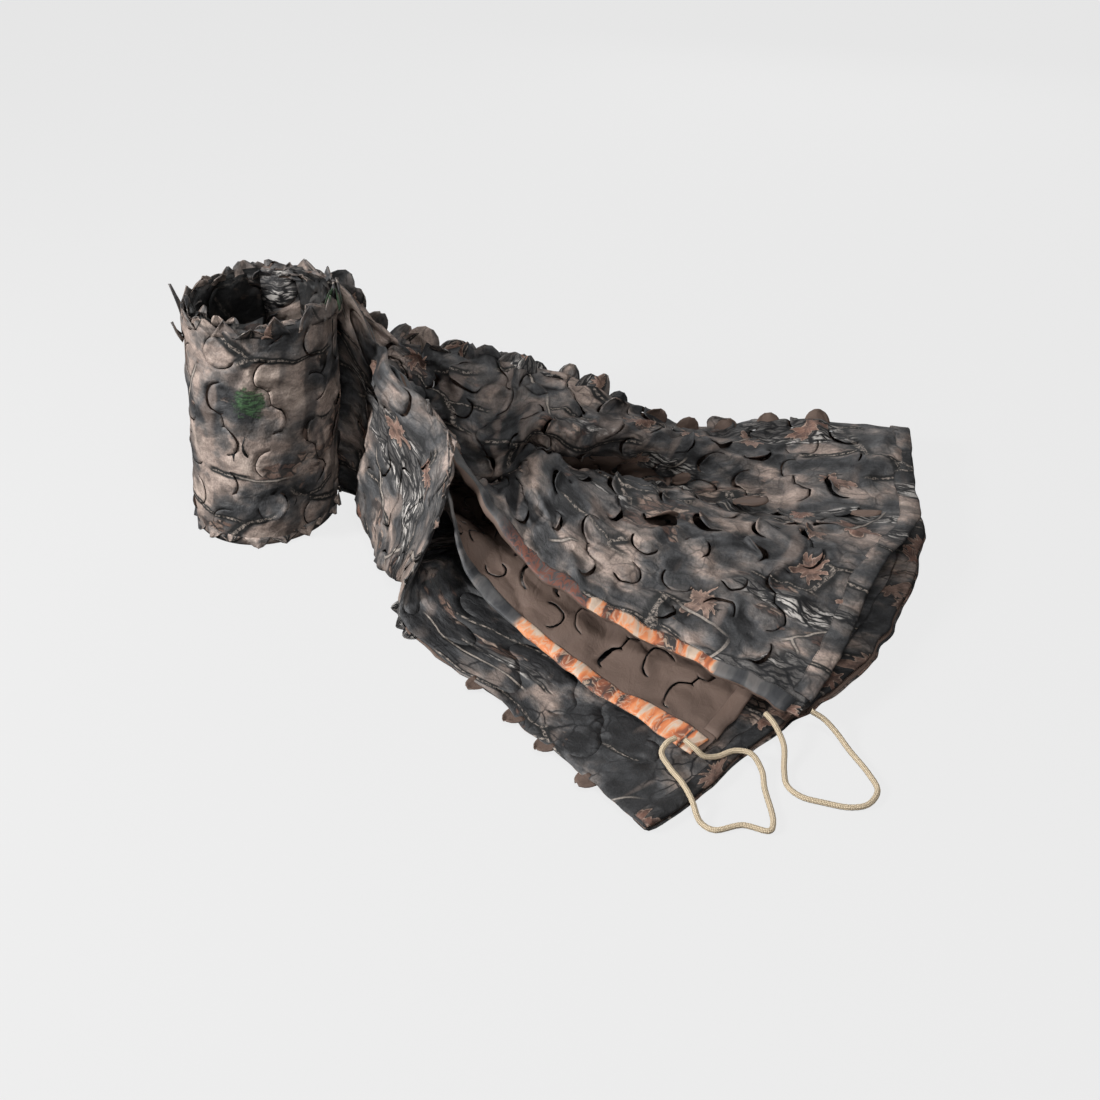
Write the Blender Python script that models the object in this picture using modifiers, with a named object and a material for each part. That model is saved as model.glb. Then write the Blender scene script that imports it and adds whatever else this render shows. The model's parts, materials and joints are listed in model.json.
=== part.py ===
"""Camouflage net: one leaf-cut cloth, folded lengthwise, half rolled up, its tail opened like a fan.

Metres, +Z up. The net lies on the plane z = 0. The roll stands at -X, the tail runs to +X and -Y.
The cloth is folded in four layers, named from the top of the pile at the tail: TOP, UNDER, LOWER and
FLOOR. TOP turns into FLOOR along the back fold, FLOOR into LOWER along the front fold, and LOWER into
UNDER along a second back fold inside the first. The roll holds the same layers folded once more.
"""
import math
from collections import namedtuple

import bmesh
import bpy
import numpy as np
from mathutils import Vector, noise

# --- cloth ---------------------------------------------------------------------------------------
CLOTH_THICKNESS = 0.0016
LAYER_GAP_ROLL = 0.0030     # pitch of the layers where the roll presses them
LAYER_GAP_TAIL = 0.0050     # pitch of the layers where they lie loose
LOOSE_RUN = 0.22            # the layers are loose from this run on
ROOT_RUN = 0.07             # up to this run the layers are pressed into one band
TAIL_START = 0.050          # the loose sheet starts inside that band
TAIL_RUN = 0.88             # length of the tail along the folds
PUCKER = 0.006              # how high the slit cloth puckers on TOP
PUCKER_SCALE = 9.0          # puckers to a metre
STANDING_RUN = 0.30         # the front arm stands up to this run
LYING_RUN = 0.55            # and lies from this run on

# --- roll ----------------------------------------------------------------------------------------
ROLL_HEIGHT = 0.300
ROLL_RADIUS = 0.094
BORE_RADIUS = 0.074
TURN_STEP = 0.0044          # eight layers of cloth: how far one turn lies inside the next
ROLL_FOOT_X = -0.376
ROLL_LEAN = 0.034           # the top of the roll stands this far to +X of its foot
RIM_RAGGED = 0.007          # how far the rim's height varies
WALL_LUMPS = 0.0025         # how far the wall swells and sinks
LUMP_SCALE = (3, 4)         # lumps around the wall and up it
RAGGED_SCALE = 9
ROLL_STEPS = 48
WALL_ROWS = 6

# --- leaves that stand out past the folds and the roll's rim ---------------------------------------
LEAF_RADIUS = 0.020
LEAF_REACH = 0.013
LEAF_THICKNESS = 0.0020
LEAF_PITCH = 0.060
LEAF_SIDES = 7
FOLD_LEAF_ROOT = 0.004      # how far a leaf's base lies inside the fold
RIM_LEAF_ROOT = 0.014       # and inside the roll's rim
BACK_LEAF_START = 0.17
FRONT_LEAF_START = 0.56
RIM_LEAVES = 11
RIM_LEAF_LEAN = 0.2
FOLD_DEPTH = {"back": 1.5, "front": 0.5}    # from FLOOR to the middle of the fold, in layer gaps

# --- mesh ----------------------------------------------------------------------------------------
TAIL_ROWS = 27
TOP_STEPS = (5, 4, 3, 3)        # edge to ridge, groove, lip and back fold
FLOOR_STEPS = (6, 4, 2, 3)      # front fold to foot, spine, heel and back fold
LOWER_STEPS = (6, 3, 2, 2)
UNDER_STEPS = (5, 3, 2, 2)
FOLD_STEPS = 2
NEAR = 0.01                     # the step along the run that measures a fold's heading
SMALL = 0.001                   # keeps two points that meet apart in the curves' sums

# --- cords ---------------------------------------------------------------------------------------
CORD_DIAMETER = 0.0058
FLOOR_CLEARANCE = 0.0003

# A row for each section across the tail. run is the distance along the folds from the roll; front and
# back are the outer folds, foot is where the front arm leaves the floor, spine is the valley's line, edge
# and hem are the free edges of TOP and UNDER. The last five shape TOP: crest is its ridge's share of the way
# from the edge to the groove, puff the ridge's height, dip the groove's, lip that of the shoulder behind the
# groove, and jut is how far the lip overhangs.
Section = namedtuple("Section", "run front foot spine back edge hem crest puff dip lip jut")
SECTIONS = (
    Section(0.00, (-0.356, 0.076, 0.300), (-0.386, 0.078), (-0.388, 0.089), (-0.352, 0.098, 0.299),
            (-0.356, 0.089, 0.297), (-0.356, 0.084, 0.297), 0.60, 0.200, 0.036, 0.160, 0.000),
    Section(0.07, (-0.296, 0.046, 0.298), (-0.316, 0.048), (-0.312, 0.066), (-0.290, 0.082, 0.284),
            (-0.296, 0.061, 0.293), (-0.296, 0.056, 0.294), 0.60, 0.200, 0.036, 0.160, 0.000),
    Section(0.12, (-0.245, 0.022, 0.292), (-0.262, 0.020), (-0.262, 0.048), (-0.240, 0.070, 0.254),
            (-0.247, 0.038, 0.285), (-0.247, 0.032, 0.287), 0.60, 0.190, 0.036, 0.160, 0.000),
    Section(0.24, (-0.177, -0.094, 0.255), (-0.250, -0.034), (-0.190, 0.030), (-0.145, 0.056, 0.200),
            (-0.175, -0.050, 0.235), (-0.172, -0.066, 0.238), 0.55, 0.190, 0.040, 0.165, 0.015),
    Section(0.33, (-0.119, -0.165, 0.205), (-0.222, -0.100), (-0.120, 0.020), (-0.060, 0.048, 0.166),
            (-0.135, -0.110, 0.195), (-0.127, -0.138, 0.184), 0.50, 0.165, 0.050, 0.165, 0.035),
    Section(0.42, (-0.125, -0.198, 0.130), (-0.198, -0.160), (-0.050, 0.000), (0.020, 0.046, 0.134),
            (-0.086, -0.166, 0.140), (-0.113, -0.188, 0.110), 0.50, 0.135, 0.045, 0.140, 0.040),
    Section(0.50, (-0.180, -0.227, 0.012), (-0.150, -0.180), (0.020, -0.010), (0.090, 0.060, 0.102),
            (-0.051, -0.229, 0.100), (-0.095, -0.233, 0.065), 0.55, 0.115, 0.040, 0.110, 0.035),
    Section(0.62, (-0.060, -0.380, 0.004), (0.030, -0.250), (0.160, -0.030), (0.200, 0.093, 0.058),
            (0.037, -0.303, 0.075), (-0.030, -0.303, 0.032), 0.65, 0.100, 0.038, 0.070, 0.010),
    Section(0.75, (0.020, -0.480, 0.004), (0.160, -0.320), (0.320, -0.045), (0.350, 0.122, 0.043),
            (0.150, -0.362, 0.047), (0.060, -0.390, 0.020), 0.70, 0.074, 0.036, 0.050, 0.000),
    Section(0.88, (0.093, -0.561, 0.004), (0.345, -0.325), (0.484, -0.053), (0.500, 0.130, 0.034),
            (0.256, -0.434, 0.030), (0.140, -0.475, 0.018), 0.75, 0.052, 0.030, 0.044, 0.000),
)
GROOVE_SHIFT = 0.08         # TOP's groove, as a share of the way from the spine to its edge
LIP_SHARE = 0.55            # TOP's lip, as a share of the way from its groove to the back fold
HEEL_SHARE_STANDING = 0.80  # where the back arm leaves the floor, from the spine to the back fold
HEEL_SHARE_LYING = 0.35
HEEL_RISE = 0.02
LOWER_LIFT_STANDING = 0.30  # how far LOWER lies from FLOOR toward TOP, where the arms stand
LOWER_LIFT_LYING = 0.12     # and where they lie
UNDER_LIFT = 0.62           # how far UNDER lies from FLOOR toward TOP
INNER_FOLD_SHARE = 0.72     # the inner back fold, as a share of the way from the heel to the outer one

# The cords' routes, chosen by hand: out of the casing's end, round over the cloth and the floor, and back.
LOWER_CORD = (
    (0.127, -0.456, 0.0235), (0.118, -0.462, 0.0230), (0.112, -0.471, 0.0180), (0.119, -0.487, 0.0135),
    (0.130, -0.508, 0.0135), (0.137, -0.528, 0.0125), (0.144, -0.549, 0.0040), (0.156, -0.558, 0.0033),
    (0.184, -0.552, 0.0033), (0.209, -0.559, 0.0033), (0.214, -0.548, 0.0033), (0.212, -0.505, 0.0033),
    (0.212, -0.484, 0.0060), (0.203, -0.468, 0.0130), (0.187, -0.464, 0.0135), (0.168, -0.472, 0.0135),
    (0.154, -0.475, 0.0172), (0.145, -0.471, 0.0242), (0.136, -0.461, 0.0255)
)
UPPER_CORD = (
    (0.223, -0.421, 0.0240), (0.229, -0.431, 0.0225), (0.234, -0.441, 0.0180), (0.238, -0.456, 0.0120), (0.235, -0.482, 0.0035),
    (0.235, -0.502, 0.0033), (0.246, -0.516, 0.0033), (0.267, -0.524, 0.0033), (0.292, -0.530, 0.0033),
    (0.310, -0.526, 0.0033), (0.323, -0.508, 0.0033), (0.319, -0.486, 0.0033), (0.306, -0.455, 0.0045),
    (0.295, -0.433, 0.0100), (0.284, -0.422, 0.0170), (0.271, -0.417, 0.0235)
)
CORD_STEP = 0.014


def blend(run, column):
    """One column of SECTIONS at any run: a cubic through its rows."""
    runs = np.array([row.run for row in SECTIONS])
    values = np.array([np.atleast_1d(getattr(row, column)) for row in SECTIONS], dtype=float)
    slopes = np.gradient(values, runs, axis=0)
    i = int(np.clip(np.searchsorted(runs, run) - 1, 0, len(runs) - 2))
    span = runs[i + 1] - runs[i]
    u = (run - runs[i]) / span
    return ((1 + 2 * u) * (1 - u) ** 2 * values[i] + u * (1 - u) ** 2 * span * slopes[i]
            + u * u * (3 - 2 * u) * values[i + 1] + u * u * (u - 1) * span * slopes[i + 1])


def spline(points, counts):
    """A smooth curve through the points, with a count of evenly spaced steps between each two."""
    knots = np.array(points, dtype=float)
    knots = np.vstack([2 * knots[0] - knots[1], knots, 2 * knots[-1] - knots[-2]])
    line = [knots[1]]
    for a, b, c, d, count in zip(knots, knots[1:], knots[2:], knots[3:], counts):
        first, span, last = [max(math.dist(*pair) ** 0.5, SMALL) for pair in ((a, b), (b, c), (c, d))]
        leave = ((b - a) / first - (c - a) / (first + span) + (c - b) / span) * span
        arrive = ((c - b) / span - (d - b) / (span + last) + (d - c) / last) * span
        u = np.linspace(0, 1, 13)[:, None]
        fine = ((1 + 2 * u) * (1 - u) ** 2 * b + u * (1 - u) ** 2 * leave
                + u * u * (3 - 2 * u) * c + u * u * (u - 1) * arrive)
        line.extend(evenly(fine, count + 1)[1:])
    return np.array(line)


def evenly(line, count):
    """count points, evenly spaced along a line of points."""
    travel = np.concatenate([[0], np.cumsum(np.linalg.norm(np.diff(line, axis=0), axis=1))])
    wanted = np.linspace(0, travel[-1], count)
    return np.stack([np.interp(wanted, travel, line[:, axis]) for axis in range(3)], axis=1)


def fold_over(last, first, outward):
    """The points between two layers where the cloth turns: half a circle that bulges outward."""
    middle = (last + first) / 2
    radius = np.linalg.norm(first - last) / 2
    angles = np.linspace(0, math.pi, FOLD_STEPS + 2)[1:-1]
    return [middle + (last - middle) * math.cos(a) + outward * radius * math.sin(a) for a in angles]


def unit(vector):
    return vector / np.linalg.norm(vector)


def eased(run, standing, lying):
    """A value that goes from one to the other where the arms of the fold come down to lie."""
    share = min(max((run - STANDING_RUN) / (LYING_RUN - STANDING_RUN), 0), 1)
    return standing + (lying - standing) * share


def layer_gap(run):
    share = min(run / LOOSE_RUN, 1)
    return LAYER_GAP_ROLL + (LAYER_GAP_TAIL - LAYER_GAP_ROLL) * share


def floor_points(run):
    """FLOOR at one run: front fold, foot, spine, heel and back fold."""
    lowest = CLOTH_THICKNESS / 2
    front, back = blend(run, "front"), blend(run, "back")
    foot, spine = np.append(blend(run, "foot"), lowest), np.append(blend(run, "spine"), lowest)
    heel = spine + eased(run, HEEL_SHARE_STANDING, HEEL_SHARE_LYING) * (back - spine)
    heel[2] = lowest + HEEL_RISE * back[2]
    return np.array([front, foot, spine, heel, back])


def inner_normal(run, fold, root):
    """The way into the pile at a fold: square to its line and to the arm that rises from root to it."""
    ahead, behind = blend(run + NEAR, fold), blend(run - NEAR, fold)
    across = blend(run, fold) - np.append(blend(run, root), 0)
    side = 1 if fold == "back" else -1
    return side * unit(np.cross(ahead - behind, across))


def top_points(run, inward):
    """TOP at one run: free edge, ridge, groove, lip and back fold."""
    edge = blend(run, "edge")
    spine, back = np.append(blend(run, "spine"), 0), blend(run, "back")
    groove = spine + GROOVE_SHIFT * (edge - spine)
    groove[2] = blend(run, "dip")[0]
    ridge = edge + blend(run, "crest")[0] * (groove - edge)
    ridge[2] = blend(run, "puff")[0]
    back = back + 3 * layer_gap(run) * inward
    lip = groove + LIP_SHARE * (back - groove)
    lip[1] -= blend(run, "jut")[0]
    lip[2] = blend(run, "lip")[0]
    return np.array([edge, ridge, groove, lip, back])


def puckers(line):
    """How high each point of a layer is raised: soft lumps that fade out at both of its edges."""
    fade = np.sin(np.linspace(0, math.pi, len(line)))
    return [PUCKER * share * (1 + noise.noise(Vector(PUCKER_SCALE * point))) / 2
            for share, point in zip(fade, line)]


def tail_row(run):
    """The whole cloth across one run: TOP, FLOOR, LOWER and UNDER with the folds between them."""
    gap = layer_gap(run)
    floor = floor_points(run)
    inward = inner_normal(run, "back", "spine")
    top = top_points(run, inward)
    lower = floor + eased(run, LOWER_LIFT_STANDING, LOWER_LIFT_LYING) * (top - floor)
    lower[:, 2] = np.maximum(lower[:, 2], floor[:, 2] + gap)
    under = floor + UNDER_LIFT * (top - floor)
    lower[0] = floor[0] + gap * inner_normal(run, "front", "foot")
    under[0] = blend(run, "hem")
    lower[4] = floor[3] + INNER_FOLD_SHARE * (floor[4] - floor[3]) + gap * inward
    under[4] = lower[4] + gap * inward
    lines = [spline(points, steps) for points, steps in
             ((top, TOP_STEPS), (floor, FLOOR_STEPS), (lower, LOWER_STEPS), (under, UNDER_STEPS))]
    top, floor, lower, under = lines
    for line, least in ((floor, 0), (lower, gap)):
        line[:, 2] = np.maximum(line[:, 2], CLOTH_THICKNESS / 2 + least)
    top[:, 2] += puckers(top)
    row = list(top) + fold_over(top[-1], floor[-1], unit(floor[-1] - floor[-2]))
    row += list(floor[::-1]) + fold_over(floor[0], lower[0], unit(floor[0] - floor[1]))
    row += list(lower) + fold_over(lower[-1], under[-1], unit(lower[-1] - lower[-2]))
    return row + list(under[::-1])


def tail_grid():
    return np.array([tail_row(run) for run in np.linspace(TAIL_START, TAIL_RUN, TAIL_ROWS)])


def grid_mesh(name, grid):
    """A quad mesh on a grid of points: a flat grid whose corners move to their places."""
    rows, columns = grid.shape[:2]
    bm = bmesh.new()
    bmesh.ops.create_grid(bm, x_segments=columns - 1, y_segments=rows - 1, size=0.5)
    bm.verts.ensure_lookup_table()
    order = sorted(bm.verts, key=lambda vert: (round(vert.co.y, 5), vert.co.x))
    for vert, place in zip(order, grid.reshape(-1, 3)):
        vert.co = place
    mesh = bpy.data.meshes.new(name)
    bm.to_mesh(mesh)
    bm.free()
    return mesh


def tail_sheet(collection):
    grid = tail_grid()
    sheet = bpy.data.objects.new("tail_sheet", grid_mesh("tail_sheet", grid))
    collection.objects.link(sheet)
    solidify = sheet.modifiers.new("cloth", "SOLIDIFY")
    solidify.thickness = CLOTH_THICKNESS
    solidify.offset = 0
    return sheet


def roll_wall(collection):
    """The wound wall: a ring whose outside runs inward by one turn's thickness, open through its bore."""
    bm = bmesh.new()
    steps = np.linspace(0, 2 * math.pi, ROLL_STEPS, endpoint=False)
    loops = []
    heights = np.linspace(0, 1, WALL_ROWS)
    levels = [("out", h) for h in heights] + [("in", h) for h in heights[::-1]]
    for side, level in levels:
        ring = []
        for turned in steps:
            angle = math.pi / 2 + turned
            around = Vector((math.cos(angle), math.sin(angle), 0))
            lump = noise.noise(LUMP_SCALE[0] * around + Vector((0, 0, LUMP_SCALE[1] * level)))
            ragged = noise.noise(RAGGED_SCALE * around + Vector((0, 0, 7 * (side == "in"))))
            radius = ROLL_RADIUS - TURN_STEP * turned / (2 * math.pi) if side == "out" else BORE_RADIUS
            radius += WALL_LUMPS * lump * math.sin(math.pi * min(level * 2, 1))
            height = level * (ROLL_HEIGHT + RIM_RAGGED * ragged)
            middle = ROLL_FOOT_X + ROLL_LEAN * height / ROLL_HEIGHT
            ring.append(bm.verts.new((middle + radius * around.x, radius * around.y, height)))
        loops.append(ring)
    for lower, upper in zip(loops, loops[1:] + loops[:1]):
        for i in range(ROLL_STEPS):
            k = (i + 1) % ROLL_STEPS
            bm.faces.new((lower[i], lower[k], upper[k], upper[i]))
    mesh = bpy.data.meshes.new("net_cloth")
    bm.to_mesh(mesh)
    bm.free()
    wall = bpy.data.objects.new("net_cloth", mesh)
    collection.objects.link(wall)
    return wall


def leaf(bm, middle, outward, along, root):
    """A flat leaf, part of the cloth: half a disc that stands outward from middle, rooted below it."""
    face = outward.cross(along).normalized() * LEAF_THICKNESS
    rim = [along * LEAF_RADIUS * math.cos(a) + outward * LEAF_REACH * math.sin(a)
           for a in np.linspace(0, math.pi, LEAF_SIDES)]
    rim = [-outward * root + along * LEAF_RADIUS] + rim + [-outward * root - along * LEAF_RADIUS]
    rim = [middle + point for point in rim]
    flat = bm.faces.new([bm.verts.new(point - face / 2) for point in rim])
    grown = bmesh.ops.extrude_face_region(bm, geom=[flat])
    bmesh.ops.translate(bm, vec=face, verts=[v for v in grown["geom"] if isinstance(v, bmesh.types.BMVert)])


def fold_leaves(bm):
    """Leaves that stand out past the outer folds of the tail, one for each repeat of the cut pattern."""
    for fold, root, start in (("back", "spine", BACK_LEAF_START), ("front", "foot", FRONT_LEAF_START)):
        for run in np.arange(start, TAIL_RUN - LEAF_RADIUS, LEAF_PITCH):
            here = blend(run, fold)
            along = Vector(blend(run + NEAR, fold) - blend(run - NEAR, fold))
            arm = Vector(here - np.append(blend(run, root), 0))
            middle = Vector(here + FOLD_DEPTH[fold] * layer_gap(run) * inner_normal(run, fold, root))
            if fold == "front":
                along.z = arm.z = 0
                middle.z = max(middle.z, LEAF_THICKNESS)
            along.normalize()
            leaf(bm, middle, (arm - along * arm.dot(along)).normalized(), along, FOLD_LEAF_ROOT)


def rim_leaves(bm):
    """Leaves that stand up from the roll's upper rim."""
    for k in range(RIM_LEAVES):
        angle = 2 * math.pi * (k + 0.3 * math.sin(5 * k)) / RIM_LEAVES
        radial = Vector((math.cos(angle), math.sin(angle), 0))
        along = Vector((-math.sin(angle), math.cos(angle), 0))
        radius = ROLL_RADIUS - 2 * TURN_STEP * (1 + (k % 2))
        height = ROLL_HEIGHT - RIM_RAGGED / 2
        middle = Vector((ROLL_FOOT_X + ROLL_LEAN, 0, height)) + radial * radius
        leaf(bm, middle, (Vector((0, 0, 1)) + RIM_LEAF_LEAN * radial).normalized(), along, RIM_LEAF_ROOT)


def leaves(collection):
    bm = bmesh.new()
    fold_leaves(bm)
    rim_leaves(bm)
    bmesh.ops.recalc_face_normals(bm, faces=bm.faces)
    mesh = bpy.data.meshes.new("leaves")
    bm.to_mesh(mesh)
    bm.free()
    item = bpy.data.objects.new("leaves", mesh)
    collection.objects.link(item)
    return item


def band_root(collection):
    """The pressed layers where the band leaves the roll: the hull of the floor layer's first sections."""
    bm = bmesh.new()
    for run in (0, ROOT_RUN / 2, ROOT_RUN):
        for point in floor_points(run):
            bm.verts.new(point)
    hull = bmesh.ops.convex_hull(bm, input=bm.verts)
    bmesh.ops.delete(bm, geom=hull["geom_interior"], context="VERTS")
    mesh = bpy.data.meshes.new("band_root")
    bm.to_mesh(mesh)
    bm.free()
    root = bpy.data.objects.new("band_root", mesh)
    collection.objects.link(root)
    return root


def drawcord(name, route, collection):
    """A cord loop as a tube along a smooth curve through its route."""
    route = np.array(route)
    route[:, 2] = np.maximum(route[:, 2], CORD_DIAMETER / 2 + FLOOR_CLEARANCE)
    fine = spline(route, [6] * (len(route) - 1))
    length = np.linalg.norm(np.diff(fine, axis=0), axis=1).sum()
    points = evenly(fine, int(round(length / CORD_STEP)) + 1)
    curve = bpy.data.curves.new(name, "CURVE")
    curve.dimensions = "3D"
    curve.bevel_depth = CORD_DIAMETER / 2
    curve.bevel_resolution = 2
    curve.use_fill_caps = True
    line = curve.splines.new("POLY")
    line.points.add(len(points) - 1)
    for corner, place in zip(line.points, points):
        corner.co = (*place, 1)
    cord = bpy.data.objects.new(name, curve)
    collection.objects.link(cord)
    return cord


def finish(items, name, colour, roughness):
    """One plain material in the pieces' own colour."""
    material = bpy.data.materials.new(name)
    material.use_nodes = True
    shader = material.node_tree.nodes["Principled BSDF"]
    shader.inputs["Base Color"].default_value = (*colour, 1)
    shader.inputs["Roughness"].default_value = roughness
    shader.inputs["Metallic"].default_value = 0
    for item in items:
        item.data.materials.append(material)


def centre_on_origin(pieces):
    """Move every piece so that the cloth's middle stands over the origin."""
    bpy.context.view_layer.update()
    shape = pieces[0].evaluated_get(bpy.context.evaluated_depsgraph_get())
    corners = np.array([shape.matrix_world @ vert.co for vert in shape.data.vertices])
    middle = (corners.min(axis=0) + corners.max(axis=0)) / 2
    for piece in pieces:
        piece.location.x -= middle[0]
        piece.location.y -= middle[1]


def main():
    for item in list(bpy.data.objects):
        bpy.data.objects.remove(item)
    collection = bpy.data.collections.new("camouflage_net")
    bpy.context.scene.collection.children.link(collection)
    joined_pieces = bpy.data.collections.new("joined_pieces")
    bpy.context.scene.collection.children.link(joined_pieces)
    wall = roll_wall(collection)
    joined = [band_root(joined_pieces), tail_sheet(joined_pieces), leaves(joined_pieces)]
    for piece in joined:
        join = wall.modifiers.new(piece.name, "BOOLEAN")
        join.operation = "UNION"
        join.solver = "MANIFOLD"
        join.object = piece
        piece.hide_render = True
        piece.display_type = "WIRE"
    cords = [drawcord("drawcord_lower", LOWER_CORD, collection),
             drawcord("drawcord_upper", UPPER_CORD, collection)]
    finish([wall], "camouflage_cloth", (0.105, 0.088, 0.074), 0.85)
    finish(cords, "braided_cord", (0.62, 0.52, 0.38), 0.8)
    centre_on_origin([wall, *cords, *joined])


main()
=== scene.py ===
"""The looks of a leaf-cut camouflage net: an upright roll, its fanned tail and two drawcord loops.

The cloth is modelled flat, with its slits cut through, and then laid on the tail's folded layers and on
the roll's turns. Metres, +Z up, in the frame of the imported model.
"""
from __future__ import annotations

import json
import logging
import math
from collections import namedtuple
from dataclasses import dataclass, field
from enum import Enum
from typing import Iterable, Sequence

import bmesh
import bpy
import numpy as np
from mathutils import Matrix, Vector, noise

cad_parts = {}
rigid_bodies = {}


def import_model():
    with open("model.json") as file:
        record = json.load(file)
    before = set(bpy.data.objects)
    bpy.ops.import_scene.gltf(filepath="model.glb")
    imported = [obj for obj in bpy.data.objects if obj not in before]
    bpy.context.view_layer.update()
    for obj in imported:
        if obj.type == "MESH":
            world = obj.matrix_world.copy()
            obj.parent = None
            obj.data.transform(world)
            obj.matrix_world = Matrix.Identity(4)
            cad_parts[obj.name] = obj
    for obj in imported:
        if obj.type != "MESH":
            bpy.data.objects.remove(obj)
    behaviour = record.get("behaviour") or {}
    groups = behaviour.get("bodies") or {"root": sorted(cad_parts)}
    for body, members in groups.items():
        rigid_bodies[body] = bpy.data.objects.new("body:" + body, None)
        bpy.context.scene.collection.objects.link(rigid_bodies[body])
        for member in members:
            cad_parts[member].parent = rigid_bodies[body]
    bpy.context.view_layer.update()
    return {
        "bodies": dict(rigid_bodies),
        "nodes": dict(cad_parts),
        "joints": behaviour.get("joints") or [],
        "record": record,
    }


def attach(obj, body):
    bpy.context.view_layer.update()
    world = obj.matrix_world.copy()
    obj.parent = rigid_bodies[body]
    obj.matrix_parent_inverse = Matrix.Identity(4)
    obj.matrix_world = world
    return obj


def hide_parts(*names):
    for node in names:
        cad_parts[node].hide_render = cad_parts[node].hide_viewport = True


LOG = logging.getLogger("camouflage_net")
BODY = "root"
MIDDLE = np.array([0.01621, -0.21185, 0.0])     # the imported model's origin in the frame of the sizes below

# --- the tail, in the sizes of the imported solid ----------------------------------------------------
CLOTH_THICKNESS = 0.0009
LOWEST = 0.0009
LAYER_GAP_ROLL = 0.0030
LAYER_GAP_TAIL = 0.0050
LOOSE_RUN = 0.22
TAIL_RUN = 0.88
STANDING_RUN = 0.30
LYING_RUN = 0.55
LIP_SHARE = 0.55
HEEL_SHARE_STANDING = 0.80
HEEL_SHARE_LYING = 0.35
HEEL_RISE = 0.02
LOWER_LIFT_STANDING = 0.30
LOWER_LIFT_LYING = 0.12
UNDER_LIFT = 0.62
INNER_FOLD_SHARE = 0.72
NEAR = 0.01
SMALL = 0.001

# run: distance from the roll; front, back: the outer folds; foot, spine: lines on the floor; edge, hem: the
# free edges of TOP and UNDER; crest, puff, dip, lip, jut: the shape of TOP between its edge and the back fold;
# tuck: how far its groove lies toward the edge from the spine.
Section = namedtuple("Section", "run front foot spine back edge hem crest puff dip lip jut tuck")
SECTIONS = (
    Section(0.00, (-0.356, 0.076, 0.300), (-0.386, 0.078), (-0.388, 0.089), (-0.352, 0.098, 0.299),
            (-0.356, 0.089, 0.297), (-0.356, 0.084, 0.297), 0.60, 0.200, 0.036, 0.160, 0.000, 0.08),
    Section(0.07, (-0.296, 0.046, 0.298), (-0.316, 0.048), (-0.312, 0.066), (-0.290, 0.082, 0.284),
            (-0.296, 0.061, 0.293), (-0.296, 0.056, 0.294), 0.60, 0.200, 0.036, 0.160, 0.000, 0.08),
    Section(0.12, (-0.245, 0.022, 0.292), (-0.262, 0.020), (-0.262, 0.048), (-0.240, 0.070, 0.254),
            (-0.247, 0.038, 0.285), (-0.247, 0.032, 0.287), 0.60, 0.190, 0.036, 0.160, 0.000, 0.08),
    Section(0.24, (-0.177, -0.094, 0.255), (-0.250, -0.034), (-0.190, 0.030), (-0.145, 0.056, 0.200),
            (-0.175, -0.050, 0.235), (-0.172, -0.066, 0.238), 0.55, 0.190, 0.040, 0.178, 0.030, 0.06),
    Section(0.33, (-0.119, -0.165, 0.205), (-0.222, -0.100), (-0.120, 0.020), (-0.060, 0.048, 0.184),
            (-0.135, -0.110, 0.195), (-0.127, -0.138, 0.184), 0.50, 0.145, 0.040, 0.150, 0.088, -0.06),
    Section(0.42, (-0.125, -0.198, 0.130), (-0.198, -0.160), (-0.050, 0.000), (0.020, 0.046, 0.158),
            (-0.086, -0.166, 0.140), (-0.113, -0.188, 0.110), 0.50, 0.110, 0.030, 0.145, 0.088, -0.14),
    Section(0.50, (-0.180, -0.227, 0.012), (-0.150, -0.180), (0.020, -0.010), (0.090, 0.060, 0.120),
            (-0.051, -0.229, 0.100), (-0.095, -0.233, 0.065), 0.55, 0.115, 0.020, 0.132, 0.074, -0.16),
    Section(0.62, (-0.060, -0.380, 0.004), (0.030, -0.250), (0.160, -0.030), (0.200, 0.093, 0.058),
            (0.037, -0.303, 0.075), (-0.030, -0.303, 0.032), 0.65, 0.100, 0.028, 0.080, 0.030, -0.06),
    Section(0.75, (0.020, -0.480, 0.004), (0.160, -0.320), (0.320, -0.045), (0.350, 0.122, 0.043),
            (0.150, -0.362, 0.047), (0.060, -0.390, 0.020), 0.70, 0.074, 0.036, 0.050, 0.000, 0.06),
    Section(0.88, (0.093, -0.561, 0.004), (0.382, -0.280), (0.484, -0.053), (0.500, 0.130, 0.034),
            (0.256, -0.434, 0.030), (0.140, -0.475, 0.018), 0.75, 0.052, 0.030, 0.044, 0.000, 0.08),
)

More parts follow.
